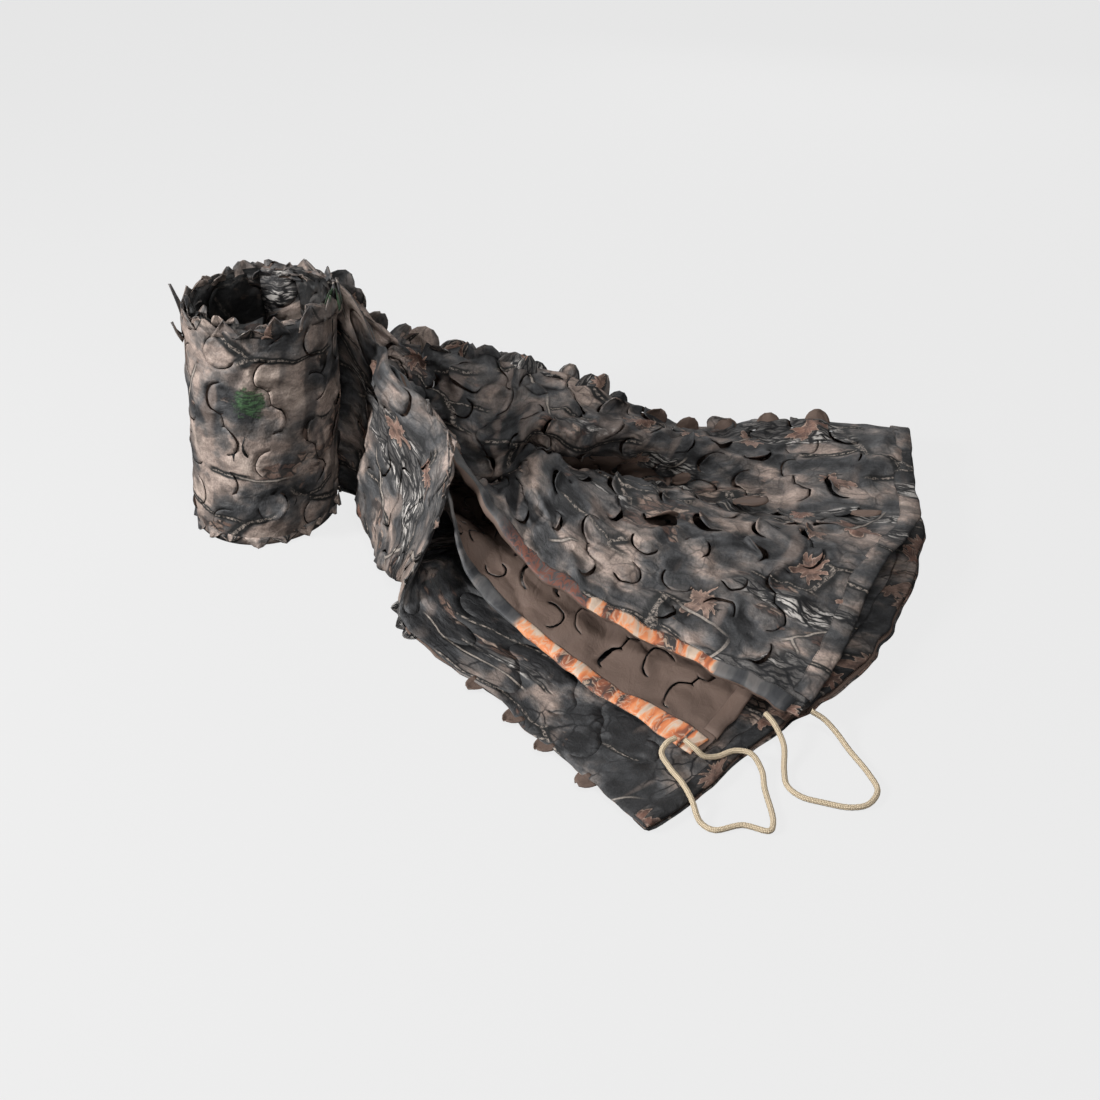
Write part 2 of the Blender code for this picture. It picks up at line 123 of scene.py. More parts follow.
# --- the drawcords' routes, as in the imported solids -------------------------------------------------
CORD_DIAMETER = 0.0058
FLOOR_CLEARANCE = 0.0003
LOWER_CORD = (
    (0.127, -0.456, 0.0235), (0.118, -0.462, 0.0230), (0.112, -0.471, 0.0180), (0.119, -0.487, 0.0135),
    (0.130, -0.508, 0.0135), (0.137, -0.528, 0.0125), (0.144, -0.549, 0.0040), (0.156, -0.558, 0.0033),
    (0.184, -0.552, 0.0033), (0.209, -0.559, 0.0033), (0.214, -0.548, 0.0033), (0.212, -0.505, 0.0033),
    (0.212, -0.484, 0.0060), (0.203, -0.468, 0.0130), (0.187, -0.464, 0.0135), (0.168, -0.472, 0.0135),
    (0.154, -0.475, 0.0172), (0.145, -0.471, 0.0242), (0.136, -0.461, 0.0255),
)
UPPER_CORD = (
    (0.223, -0.421, 0.0240), (0.229, -0.431, 0.0225), (0.234, -0.441, 0.0180), (0.238, -0.456, 0.0120),
    (0.235, -0.482, 0.0035), (0.235, -0.502, 0.0033), (0.246, -0.516, 0.0033), (0.267, -0.524, 0.0033),
    (0.292, -0.530, 0.0033), (0.310, -0.526, 0.0033), (0.323, -0.508, 0.0033), (0.319, -0.486, 0.0033),
    (0.306, -0.455, 0.0045), (0.295, -0.433, 0.0100), (0.284, -0.422, 0.0170), (0.271, -0.417, 0.0235),
)

Colour = tuple[float, float, float]


class Layer(Enum):
    """The tail's four layers, from the top of the pile down to the floor and back up inside."""

    TOP = "top"
    FLOOR = "floor"
    LOWER = "lower"
    UNDER = "under"


# =====================================================================================================
# Curves and surfaces
# =====================================================================================================


def evenly(line: np.ndarray, count: int) -> np.ndarray:
    """Space points evenly along a line of points.

    Args:
        line: the line's points, one to a row.
        count: how many points to return.

    Returns:
        The evenly spaced points.
    """
    travel = np.concatenate([[0], np.cumsum(np.linalg.norm(np.diff(line, axis=0), axis=1))])
    wanted = np.linspace(0, travel[-1], count)
    return np.stack([np.interp(wanted, travel, line[:, axis]) for axis in range(3)], axis=1)


def spline(points: Sequence[Sequence[float]], count: int = 12) -> np.ndarray:
    """Run a smooth curve through points.

    Args:
        points: the points to pass through.
        count: the steps between each two of them.

    Returns:
        The curve's points.
    """
    knots = np.array(points, dtype=float)
    knots = np.vstack([2 * knots[0] - knots[1], knots, 2 * knots[-1] - knots[-2]])
    line = [knots[1]]
    u = np.linspace(0, 1, count + 1)[1:, None]
    for a, b, c, d in zip(knots, knots[1:], knots[2:], knots[3:]):
        first, span, last = [max(math.dist(*pair) ** 0.5, SMALL) for pair in ((a, b), (b, c), (c, d))]
        leave = ((b - a) / first - (c - a) / (first + span) + (c - b) / span) * span
        arrive = ((c - b) / span - (d - b) / (span + last) + (d - c) / last) * span
        line.extend((1 + 2 * u) * (1 - u) ** 2 * b + u * (1 - u) ** 2 * leave
                    + u * u * (3 - 2 * u) * c + u * u * (u - 1) * arrive)
    return np.array(line)


def unit(vector: np.ndarray) -> np.ndarray:
    """Scale a vector to length one."""
    return vector / max(np.linalg.norm(vector), 1e-9)


def smooth_share(value: np.ndarray | float, low: float, high: float) -> np.ndarray | float:
    """Ease from 0 at low to 1 at high."""
    share = np.clip((value - low) / (high - low), 0, 1)
    return share * share * (3 - 2 * share)


@dataclass
class ClothSurface:
    """A surface that flat cloth is laid on: a table of points, across the cloth and along it.

    Args:
        points: the table, rows along the cloth and columns across it.
        width: the flat cloth's size across, in metres.
        length: its size along.
    """

    points: np.ndarray
    width: float
    length: float
    normals: np.ndarray = field(init=False)

    def __post_init__(self) -> None:
        """Work out which way the printed side faces at each point of the table."""
        across = np.gradient(self.points, axis=1)
        along = np.gradient(self.points, axis=0)
        normals = np.cross(along, across)
        self.normals = normals / np.maximum(np.linalg.norm(normals, axis=2, keepdims=True), 1e-9)

    def lay(self, across: np.ndarray, along: np.ndarray, height: np.ndarray) -> np.ndarray:
        """Lay flat points on the surface.

        Args:
            across: the points' places across the cloth.
            along: their places along it.
            height: how far they stand off on the printed side.

        Returns:
            Their places in the model.
        """
        rows, columns = self.points.shape[:2]
        u, v = across / self.width * (columns - 1), along / self.length * (rows - 1)
        i, j = np.clip(v.astype(int), 0, rows - 2), np.clip(u.astype(int), 0, columns - 2)
        a, b = (v - i)[:, None], (u - j)[:, None]

        def mixed(table: np.ndarray) -> np.ndarray:
            """Blend the four table entries around each point."""
            return ((1 - a) * ((1 - b) * table[i, j] + b * table[i, j + 1])
                    + a * ((1 - b) * table[i + 1, j] + b * table[i + 1, j + 1]))

        normal = mixed(self.normals)
        normal /= np.maximum(np.linalg.norm(normal, axis=1, keepdims=True), 1e-9)
        return mixed(self.points) + normal * np.asarray(height)[:, None]


@dataclass(frozen=True)
class Dent:
    """A soft hollow or swelling of the whole pile, which keeps its layers in order.

    Args:
        place: its middle on the floor.
        reach: its half sizes.
        turn: its turn about the vertical, in radians.
        rise: the change of height, as a share of the height.
        lean: the sideways shift of what stands 0.1 m high.
        ceiling: with a height here, only what is lower moves up or down.
    """

    place: tuple[float, float]
    reach: tuple[float, float]
    turn: float = 0.0
    rise: float = 0.0
    lean: tuple[float, float] = (0.0, 0.0)
    ceiling: float = 0.0

    def shift(self, points: np.ndarray) -> np.ndarray:
        """Give the shift of each point of a table."""
        away = points[..., :2] - (np.array(self.place) - MIDDLE[:2])
        cosine, sine = math.cos(self.turn), math.sin(self.turn)
        u = (away[..., 0] * cosine + away[..., 1] * sine) / self.reach[0]
        v = (away[..., 1] * cosine - away[..., 0] * sine) / self.reach[1]
        share = np.exp(-u * u - v * v)
        high = share * np.clip(points[..., 2] / 0.1, 0, 1.3)
        if self.ceiling:
            share = share * np.clip(1 - points[..., 2] / self.ceiling, 0, 1)
        return np.stack([high * self.lean[0], high * self.lean[1], share * self.rise * points[..., 2]], axis=-1)


# the hollows beside the edge and under the shoulder, the pillar between them and the shoulder that leans out
TAIL_DENTS = (
    Dent((-0.096, -0.055), (0.034, 0.060), 0.2, -1.10, ceiling=0.21),
    Dent((-0.005, -0.110), (0.026, 0.040), 0.0, 0.16),
    Dent((-0.024, -0.050), (0.015, 0.036), 0.0, 0.9, ceiling=0.145),
    Dent((-0.178, 0.002), (0.036, 0.030), 0.0, -0.38),
    Dent((-0.290, 0.045), (0.036, 0.045), 0.0, 0.0, (0.0, 0.028)),
)


@dataclass
class TailForm:
    """The folded tail: four layers joined at their folds, standing at the roll and lying at the far end."""

    rows: int = 111
    columns: int = 81
    first_run: float = 0.0

    def blend(self, run: float, column: str) -> np.ndarray:
        """Read one column of SECTIONS at any run, on a cubic through its rows."""
        runs = np.array([row.run for row in SECTIONS])
        values = np.array([np.atleast_1d(getattr(row, column)) for row in SECTIONS], dtype=float)
        slopes = np.gradient(values, runs, axis=0)
        i = int(np.clip(np.searchsorted(runs, run) - 1, 0, len(runs) - 2))
        span = runs[i + 1] - runs[i]
        u = (run - runs[i]) / span
        return ((1 + 2 * u) * (1 - u) ** 2 * values[i] + u * (1 - u) ** 2 * span * slopes[i]
                + u * u * (3 - 2 * u) * values[i + 1] + u * u * (u - 1) * span * slopes[i + 1])

    def eased(self, run: float, standing: float, lying: float) -> float:
        """Go from one value to the other where the arms of the fold come down to lie."""
        share = min(max((run - STANDING_RUN) / (LYING_RUN - STANDING_RUN), 0), 1)
        return standing + (lying - standing) * share

    def gap(self, run: float) -> float:
        """Give the distance between two layers at a run."""
        return LAYER_GAP_ROLL + (LAYER_GAP_TAIL - LAYER_GAP_ROLL) * min(max(run, 0) / LOOSE_RUN, 1)

    def inner_normal(self, run: float, fold: str, root: str) -> np.ndarray:
        """Give the way into the pile at a fold: square to its line and to the arm that rises to it."""
        ahead, behind = self.blend(run + NEAR, fold), self.blend(run - NEAR, fold)
        across = self.blend(run, fold) - np.append(self.blend(run, root), 0)
        return (1 if fold == "back" else -1) * unit(np.cross(ahead - behind, across))

    def knots(self, run: float) -> dict[Layer, np.ndarray]:
        """Give the five points that shape each layer across one run, from its front to its back."""
        gap = self.gap(run)
        front, back = self.blend(run, "front"), self.blend(run, "back")
        foot, spine = [np.append(self.blend(run, name), LOWEST) for name in ("foot", "spine")]
        heel = spine + self.eased(run, HEEL_SHARE_STANDING, HEEL_SHARE_LYING) * (back - spine)
        heel[2] = LOWEST + HEEL_RISE * back[2]
        floor = np.array([front, foot, spine, heel, back])
        inward = self.inner_normal(run, "back", "spine")
        edge = self.blend(run, "edge")
        groove = spine + self.blend(run, "tuck")[0] * (edge - spine)
        groove[2] = self.blend(run, "dip")[0]
        ridge = edge + self.blend(run, "crest")[0] * (groove - edge)
        ridge[2] = self.blend(run, "puff")[0]
        rear = back + 3 * gap * inward
        lip = groove + LIP_SHARE * (rear - groove)
        lip[1] -= self.blend(run, "jut")[0]
        lip[2] = self.blend(run, "lip")[0]
        top = np.array([edge, ridge, groove, lip, rear])
        lower = floor + self.eased(run, LOWER_LIFT_STANDING, LOWER_LIFT_LYING) * (top - floor)
        lower[:, 2] = np.maximum(lower[:, 2], floor[:, 2] + gap)
        under = floor + UNDER_LIFT * (top - floor)
        lower[0] = front + gap * self.inner_normal(run, "front", "foot")
        under[0] = self.blend(run, "hem")
        lower[4] = floor[3] + INNER_FOLD_SHARE * (floor[4] - floor[3]) + gap * inward
        under[4] = lower[4] + gap * inward
        return {Layer.TOP: top, Layer.FLOOR: floor, Layer.LOWER: lower, Layer.UNDER: under}

    def turned(self, last: np.ndarray, first: np.ndarray, outward: np.ndarray, steps: int = 4) -> np.ndarray:
        """Give the points where the cloth turns over from one layer to the next."""
        middle, radius = (last + first) / 2, np.linalg.norm(first - last) / 2
        angles = np.linspace(0, math.pi, steps + 1)[1:, None]
        return middle + (last - middle) * np.cos(angles) + outward * radius * np.sin(angles)

    def line(self, run: float, layer: Layer) -> np.ndarray:
        """Give one layer's line across a run, with the fold at its far side where it has one."""
        knots = self.knots(run)
        low = {Layer.TOP: LOWEST, Layer.FLOOR: LOWEST, Layer.LOWER: LOWEST + self.gap(run)}.get(layer, LOWEST)
        line = spline(knots[layer])
        line[:, 2] = np.maximum(line[:, 2], low)
        if layer is Layer.TOP:
            line = np.vstack([line, self.turned(line[-1], knots[Layer.FLOOR][4],
                                                unit(knots[Layer.FLOOR][4] - knots[Layer.FLOOR][3]))])
        if layer is Layer.FLOOR:
            line = line[::-1]
            line = np.vstack([line, self.turned(line[-1], knots[Layer.LOWER][0],
                                                unit(knots[Layer.FLOOR][0] - knots[Layer.FLOOR][1]))])
        if layer is Layer.LOWER:
            line = np.vstack([line, self.turned(line[-1], knots[Layer.UNDER][4],
                                                unit(knots[Layer.LOWER][4] - knots[Layer.LOWER][3]))])
        if layer is Layer.UNDER:
            line = line[::-1]
        return evenly(line, self.columns) - MIDDLE

    def shortened(self, table: np.ndarray) -> np.ndarray:
        """Draw the end of a layer in toward its back, where it lies hidden."""
        rows = np.arange(len(table))
        shares = np.linspace(0, 1, table.shape[1])
        drawn = 1 - 0.13 * (1 - smooth_share(shares, 0.45, 0.92))
        return np.stack([np.stack([np.interp(rows * drawn[k], rows, table[:, k, axis]) for axis in range(3)], axis=-1)
                         for k in range(table.shape[1])], axis=1)

    def surface(self, layer: Layer) -> ClothSurface:
        """Give the surface of a layer, with the printed side outward all through the folds."""
        runs = np.linspace(self.first_run, TAIL_RUN, self.rows)
        table = np.array([self.line(run, layer) for run in runs])
        for dent in TAIL_DENTS:
            table = table + dent.shift(table)
        table = np.array([evenly(line, self.columns) for line in table])
        if layer is Layer.UNDER:
            table = self.shortened(table)
        width = float(np.linalg.norm(np.diff(table[-30:], axis=1), axis=2).sum(axis=1).mean())
        return ClothSurface(table, width, TAIL_RUN - self.first_run)


@dataclass
class RollForm:
    """The roll: doubled cloth wound round an open bore, its fold at the upper rim, leaning a little."""

    foot_x: float = -0.376
    lean: float = 0.034
    height: float = 0.300
    radius: float = 0.0935
    turn_step: float = 0.0044
    inner_gap: float = 0.0022
    turns: float = 3.9
    lump: float = 0.0030
    start_angle: float = math.pi / 2
    lead: float = 0.10

    def point(self, turned: float, level: float) -> np.ndarray:
        """Give a point of the doubled cloth.

        Args:
            turned: how far it is wound, in radians.
            level: 0 at the outer lower edge, 1 at the rim and 2 at the inner lower edge.
        """
        angle = self.start_angle + turned
        inside = float(smooth_share(level, 0.97, 1.03))
        up = 1 - abs(level - 1)
        around = Vector((math.cos(angle), math.sin(angle), 0))
        radius = self.radius - self.turn_step * turned / (2 * math.pi) - self.inner_gap * inside
        swell = noise.noise(3 * around + Vector((0, 0, 4 * up)))
        radius += self.lump * swell * math.sin(math.pi * min(up * 2, 1) * 0.5)
        ragged = noise.noise(5 * around + Vector((0, 0, turned)))
        height = up * (self.height - 0.004 + 0.006 * ragged) + LOWEST
        x = self.foot_x + self.lean * height / self.height + radius * around.x
        return np.array([x, radius * around.y, height]) - MIDDLE

    def surface(self, first: float, last: float) -> ClothSurface:
        """Give the surface of the turns between two winding angles."""
        count = int((last - first) / 0.05) + 2
        levels = np.concatenate([np.linspace(0, 0.97, 24), np.linspace(0.98, 1.02, 5), np.linspace(1.03, 2, 24)])
        table = np.array([[self.point(turned, level) for level in levels]
                          for turned in np.linspace(first, last, count)])
        table = np.array([evenly(line, 61) for line in table])
        middle = self.radius - self.turn_step * (first + last) / 2 / (2 * math.pi)
        return ClothSurface(table, 2 * self.height, middle * (last - first))


# =====================================================================================================
# Cloth with slits
# =====================================================================================================


@dataclass(frozen=True)
class Crumple:
    """Soft wrinkles of the whole pile: each point moves by a smooth field, so that layers move together.

    Args:
        waves: pairs of waves to a metre and height in metres.
        standing: how much stronger they are where the cloth stands.
    """

    waves: Sequence[tuple[float, float]] = ((8.0, 0.0085), (19.0, 0.0050), (43.0, 0.0026))
    standing: float = 0.8

    def shifts(self, points: np.ndarray) -> np.ndarray:
        """Give the shift of each point; near the floor the cloth keeps flat."""
        moved = np.zeros_like(points)
        for scale, height in self.waves:
            moved += height * np.array([noise.noise_vector(Vector(scale * point)) for point in points])
        moved *= 1 + self.standing * (smooth_share(points[:, 2:], 0.09, 0.18)
                                      * smooth_share(points[:, :1], -0.27, -0.20))
        moved[:, 2] *= smooth_share(points[:, 2], 0.0, 0.03)
        return moved


@dataclass(frozen=True)
class LeafCut:
    """The repeat of the slits: round leaves that hang by a part of their rim.

    Args:
        pitch: the repeat.
        radius: a leaf's radius.
        opening: half of a slit's turn around its leaf, in degrees, at least and at most.
        gap: how far each side of a slit stands off its line.
        pairs: the share of leaves whose slits run on into their neighbour's, in an S.
        lifted: the share of leaves that stand open.
        turned: the share of leaves that are folded back.
        curl: the curl of the other leaves, in radians.
    """

    pitch: float = 0.060
    radius: float = 0.0205
    opening: tuple[float, float] = (72.0, 122.0)
    gap: float = 0.0008
    pairs: float = 0.35
    lifted: float = 0.14
    turned: float = 0.03
    curl: float = 0.14


@dataclass
class Leaf:
    """One leaf of the repeat: where it is, where it hangs, how far it is cut and how far it curls."""

    row: int
    column: int
    centre: tuple[float, float]
    hinge: float
    opening: float
    curl: float
    radius: float
    joined: bool = False


@dataclass
class SlitCloth:
    """A panel of slit cloth: a flat grid with its leaves cut, curled and laid on a surface.

    Args:
        name: the piece's name.
        surface: what the cloth is laid on.
        start: where the panel starts on the whole flat cloth, for its print.
        detail: grid steps to a repeat of the slits; a multiple of four.
        seed: picks the leaves.
        crumple: the pile's wrinkles, or None.
        pucker: how high the cloth puckers between the slits, at the panel's start and at its end.
        bare: widths left uncut at the low and high side across, and the low and high end along.
        cut: the slits.
        shut: the width at the low side across where the leaves lie flat and the slits stay closed.
    """

    name: str
    surface: ClothSurface
    start: tuple[float, float]
    detail: int
    seed: int
    crumple: Crumple | None = None
    pucker: tuple[float, float] = (0.003, 0.003)
    bare: tuple[float, float, float, float] = (0.0, 0.0, 0.0, 0.0)
    cut: LeafCut = field(default_factory=LeafCut)
    shut: float = 0.0

    def __post_init__(self) -> None:
        """Fit whole repeats of the slits to the panel."""
        self.random = np.random.default_rng(self.seed)
        self.cells = (max(1, round(self.surface.width / self.cut.pitch)),
                      max(1, round(self.surface.length / self.cut.pitch)))
        self.step = (self.surface.width / (self.cells[0] * self.detail),
                     self.surface.length / (self.cells[1] * self.detail))
        self.half = self.detail // 2
        self.rim = self.half - max(1, self.detail // 6)

    def is_clear(self, centre: tuple[float, float]) -> bool:
        """Say whether a leaf fits between the bare borders."""
        reach = self.cut.radius * 1.12
        return (reach + self.bare[0] < centre[0] < self.surface.width - reach - self.bare[1]
                and reach + self.bare[2] < centre[1] < self.surface.length - reach - self.bare[3])

    def leaves(self) -> list[Leaf]:
        """Choose the leaves: staggered rows, each hanging another way, some joined in pairs."""
        found: list[Leaf] = []
        for row in range(self.cells[1]):
            partner = None
            for column in range(self.cells[0]):
                i = column * self.detail + self.half * (1 + row % 2)
                j = row * self.detail + self.half
                centre = (i * self.step[0], j * self.step[1])
                hinge = math.pi * (0.5 + (column + row) % 2) + self.random.normal(0, 0.8)
                opening = math.radians(self.random.uniform(*self.cut.opening))
                kind, curl = self.random.random(), self.random.normal(self.cut.curl, self.cut.curl)
                wants_pair = self.random.random() < self.cut.pairs
                if kind < self.cut.lifted:
                    curl = self.random.uniform(0.5, 1.15)
                elif kind < self.cut.lifted + self.cut.turned:
                    curl = self.random.uniform(2.1, 2.7)
                elif kind > 0.80:
                    curl = -0.6 * curl
                if not self.is_clear(centre):
                    partner = None
                    continue
                if centre[0] < self.shut:
                    curl = 0.0
                leaf = Leaf(j, i, centre, hinge, opening, float(curl),
                            self.cut.radius * self.random.uniform(0.80, 1.14))
                if partner is not None:
                    partner.hinge, leaf.hinge = -math.pi / 2, math.pi / 2
                    partner.opening = leaf.opening = math.pi / 2 + 0.05
                    partner.joined = True
                    partner = None
                elif wants_pair:
                    partner = leaf
                found.append(leaf)
        return found

    def round_rings(self, flat: np.ndarray, leaf: Leaf) -> None:
        """Move the square rings of grid points around a leaf onto circles."""
        for dj in range(-self.half, self.half + 1):
            for di in range(-self.half, self.half + 1):
                ring = max(abs(di), abs(dj))
                i, j = leaf.column + di, leaf.row + dj
                if not (0 < ring < self.half and 0 <= i < flat.shape[1] and 0 <= j < flat.shape[0]):
                    continue
                square = np.array(leaf.centre) + np.array([di * self.step[0], dj * self.step[1]])
                outside = max(ring - self.rim, 0) / (self.half - self.rim)
                radius = leaf.radius * min(ring / self.rim, 1)
                radius += (self.cut.pitch / 2 - leaf.radius) * outside
                angle = self.square_angle(di, dj)
                circle = np.array(leaf.centre) + radius * np.array([math.cos(angle), math.sin(angle)])
                flat[j, i] = square + (circle - square) * (1 - outside)

    def round_corners(self, flat: np.ndarray, leaf: Leaf) -> None:
        """Ease the corners where a slit runs on into its neighbour's."""
        after = leaf.column + self.detail
        path = [(leaf.row + dj, leaf.column + di) for di, dj in square_ring(self.rim)
                if di == self.rim and 0 < dj <= self.rim][::-1]
        path += [(leaf.row, i) for i in range(leaf.column + self.rim, after - self.rim + 1)]
        path += [(leaf.row - k, after - self.rim) for k in range(1, self.rim + 1)]
        path = [(j, i) for j, i in path if 0 <= j < flat.shape[0] and 0 <= i < flat.shape[1]]
        for _ in range(5):
            line = np.array([flat[place] for place in path])
            line[1:-1] += 0.5 * ((line[:-2] + line[2:]) / 2 - line[1:-1])
            for place, point in zip(path, line):
                flat[place] = point

    @staticmethod
    def square_angle(di: int, dj: int) -> float:
        """Give the angle of a grid point on a square ring, spaced evenly round the ring."""
        ring = max(abs(di), abs(dj))
        if dj == -ring and di < ring:
            along = di + ring
        elif di == ring and dj < ring:
            along = 2 * ring + dj + ring
        elif dj == ring and di > -ring:
            along = 4 * ring + ring - di
        else:
            along = 6 * ring + ring - dj
        return -0.75 * math.pi + along / (8 * ring) * 2 * math.pi

    def build(self, front: bpy.types.Material, back: bpy.types.Material) -> bpy.types.Object:
        """Make the panel.

        Args:
            front: the printed side's finish.
            back: the plain side's finish.

        Returns:
            The finished piece.
        """
        columns, rows = self.cells[0] * self.detail, self.cells[1] * self.detail
        bm = bmesh.new()
        tags = {"leaf": bm.faces.layers.int.new("on_leaf"), "rim": bm.verts.layers.int.new("on_rim")}
        cloth = bm.loops.layers.uv.new("cloth")
        bmesh.ops.create_grid(bm, x_segments=columns, y_segments=rows, size=0.5)
        order = sorted(bm.verts, key=lambda vert: (round(vert.co.y, 5), vert.co.x))
        grid = [order[j * (columns + 1):(j + 1) * (columns + 1)] for j in range(rows + 1)]
        flat = np.stack(np.meshgrid(np.arange(columns + 1) * self.step[0],
                                    np.arange(rows + 1) * self.step[1]), axis=-1)
        leaves = self.leaves()
        for leaf in leaves:
            self.round_rings(flat, leaf)
        for leaf in leaves:
            if leaf.joined:
                self.round_corners(flat, leaf)
        for j in range(rows + 1):
            for i in range(columns + 1):
                grid[j][i].co = (*flat[j, i], 0)
        bmesh.ops.split_edges(bm, edges=self.mark(grid, leaves, tags))
        for face in bm.faces:
            face.smooth = True
            for loop in face.loops:
                loop[cloth].uv = (self.start[0] + loop.vert.co.x, self.start[1] + loop.vert.co.y)
        self.shape(bm, leaves, tags)
        bmesh.ops.reverse_faces(bm, faces=bm.faces)
        mesh = bpy.data.meshes.new(self.name)
        bm.to_mesh(mesh)
        bm.free()
        return cloth_piece(self.name, mesh, front, back)

    def mark(self, grid: list, leaves: list[Leaf], tags: dict[str, object]) -> list[bmesh.types.BMEdge]:
        """Find the slits' edges and tag each leaf's faces and rim.

        Args:
            grid: the flat grid's vertices by row and column.
            leaves: the leaves.
            tags: the layers that keep the tags.

        Returns:
            The edges to cut.
        """
        cut_edges = []

        def join(here: bmesh.types.BMVert, after: bmesh.types.BMVert) -> None:
            """Cut between two neighbouring points."""
            cut_edges.append(next(edge for edge in here.link_edges if after in edge.verts))

        for number, leaf in enumerate(leaves, start=1):
            corners = [grid[leaf.row + dj][leaf.column + di] for di, dj in square_ring(self.rim)]
            for here, after in zip(corners, corners[1:] + corners[:1]):
                here[tags["rim"]] = number
                middle = (here.co + after.co) / 2
                angle = math.atan2(middle.y - leaf.centre[1], middle.x - leaf.centre[0])
                if math.cos(angle - leaf.hinge) < math.cos(math.pi - leaf.opening):
                    join(here, after)
            if leaf.joined:
                bridge = [grid[leaf.row][i] for i in range(leaf.column + self.rim,
                                                           leaf.column + self.detail - self.rim + 1)]
                for here, after in zip(bridge, bridge[1:]):
                    join(here, after)
            for dj in range(-self.rim, self.rim):
                for di in range(-self.rim, self.rim):
                    near, far = grid[leaf.row + dj][leaf.column + di], grid[leaf.row + dj + 1][leaf.column + di + 1]
                    next(face for face in near.link_faces if far in face.verts)[tags["leaf"]] = number
        return cut_edges

    def bent(self, leaf: Leaf, away: np.ndarray) -> tuple[float, float, float]:
        """Bend a leaf's point about its hinge.

        Args:
            leaf: the leaf.
            away: the point's place from the leaf's middle.

        Returns:
            The point's shift across and along, and its height.
        """
        toward = np.array([math.cos(leaf.hinge), math.sin(leaf.hinge)])
        chord = -leaf.radius * math.cos(leaf.opening)
        reach, full = chord - away @ toward, chord + leaf.radius
        if reach <= 0:
            return 0.0, 0.0, 0.0
        bend = (leaf.curl if abs(leaf.curl) > 0.01 else 0.01) / full
        drawn = (reach - math.sin(bend * reach) / bend) * toward
        twist = 0.10 * leaf.curl * (away @ np.array([-toward[1], toward[0]])) * reach / full
        return drawn[0], drawn[1], (1 - math.cos(bend * reach)) / bend + twist

    def shape(self, bm: bmesh.types.BMesh, leaves: list[Leaf], tags: dict[str, object]) -> None:
        """Open the slits, curl the leaves, pucker the cloth and lay the panel on its surface."""
        verts = list(bm.verts)
        flat = np.array([vert.co for vert in verts])
        across, along, height = flat[:, 0].copy(), flat[:, 1].copy(), np.zeros(len(verts))
        spread = min(self.step) / 2
        for k, vert in enumerate(verts):
            inner = 0 < flat[k, 0] < self.surface.width and 0 < flat[k, 1] < self.surface.length
            if vert.is_boundary and inner:
                middle = sum((face.calc_center_median() for face in vert.link_faces), Vector())
                pull = (middle / len(vert.link_faces) - vert.co) / spread
                width = self.cut.gap * (0.45 + 1.1 * (noise.noise(26 * vert.co) * 0.5 + 0.5))
                width *= 0.2 if flat[k, 0] < self.shut else 1.0
                across[k] += width * pull.x
                along[k] += width * pull.y
            numbers = {face[tags["leaf"]] for face in vert.link_faces}
            if len(numbers) != 1:
                continue
            number = numbers.pop()
            leaf = leaves[(number or vert[tags["rim"]]) - 1]
            away = np.array([flat[k, 0] - leaf.centre[0], flat[k, 1] - leaf.centre[1]])
            if number:
                shift = self.bent(leaf, away)
                across[k] += shift[0]
                along[k] += shift[1]
                height[k] += shift[2]
            elif vert[tags["rim"]] and vert.is_boundary:
                height[k] -= 0.10 * self.bent(leaf, away)[2]
        height += self.puckers(flat)
        placed = self.surface.lay(across, along, height)
        if self.crumple:
            placed += self.crumple.shifts(placed)
        placed[:, 2] = np.maximum(placed[:, 2], LOWEST)
        for vert, place in zip(verts, placed):
            vert.co = place

    def puckers(self, flat: np.ndarray) -> np.ndarray:
        """Give the height of the small domes and creases between the slits."""
        swell = np.array([1.6 * abs(noise.noise(Vector((15 * a + self.seed, 15 * b, 3.1)))) - 0.20
                          - 2.4 * abs(noise.noise(Vector((23 * a, 17 * b + self.seed, 7.7)))) + 0.45
                          + 0.40 * noise.noise(Vector((85 * a, 85 * b, 1.3))) for a, b in flat[:, :2]])
        swell = np.maximum(swell, -0.12)
        share = flat[:, 1] / self.surface.length
        high = self.pucker[0] + (self.pucker[1] - self.pucker[0]) * share
        edge = np.minimum(np.minimum(flat[:, 0], self.surface.width - flat[:, 0]),
                          np.minimum(flat[:, 1], self.surface.length - flat[:, 1]))
        return high * swell * smooth_share(edge, 0, 0.03)


def square_ring(half: int) -> list[tuple[int, int]]:
    """List the grid steps round a square ring, in order."""
    steps = [(k, -half) for k in range(-half, half)]
    steps += [(half, k) for k in range(-half, half)]
    steps += [(-k, half) for k in range(-half, half)]
    steps += [(-half, -k) for k in range(-half, half)]
    return steps


def cloth_piece(name: str, mesh: bpy.types.Mesh, front: bpy.types.Material, back: bpy.types.Material,
                thickness: float = CLOTH_THICKNESS) -> bpy.types.Object:
    """Make a piece of cloth from a flat mesh: printed on one side, plain on the other.

    Args:
        name: the piece's name.
        mesh: the cloth's middle, faces toward the printed side.
        front: the printed side's finish.
        back: the plain side's finish.
        thickness: the cloth's thickness.

    Returns:
        The piece, riding on the model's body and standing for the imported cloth.
    """
    item = bpy.data.objects.new(name, mesh)
    bpy.context.scene.collection.objects.link(item)
    mesh.materials.append(front)
    mesh.materials.append(back)
    solidify = item.modifiers.new("cloth", "SOLIDIFY")
    solidify.thickness = thickness
    solidify.offset = 0
    solidify.material_offset = 1
    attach(item, BODY)
    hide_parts("net_cloth")
    return item


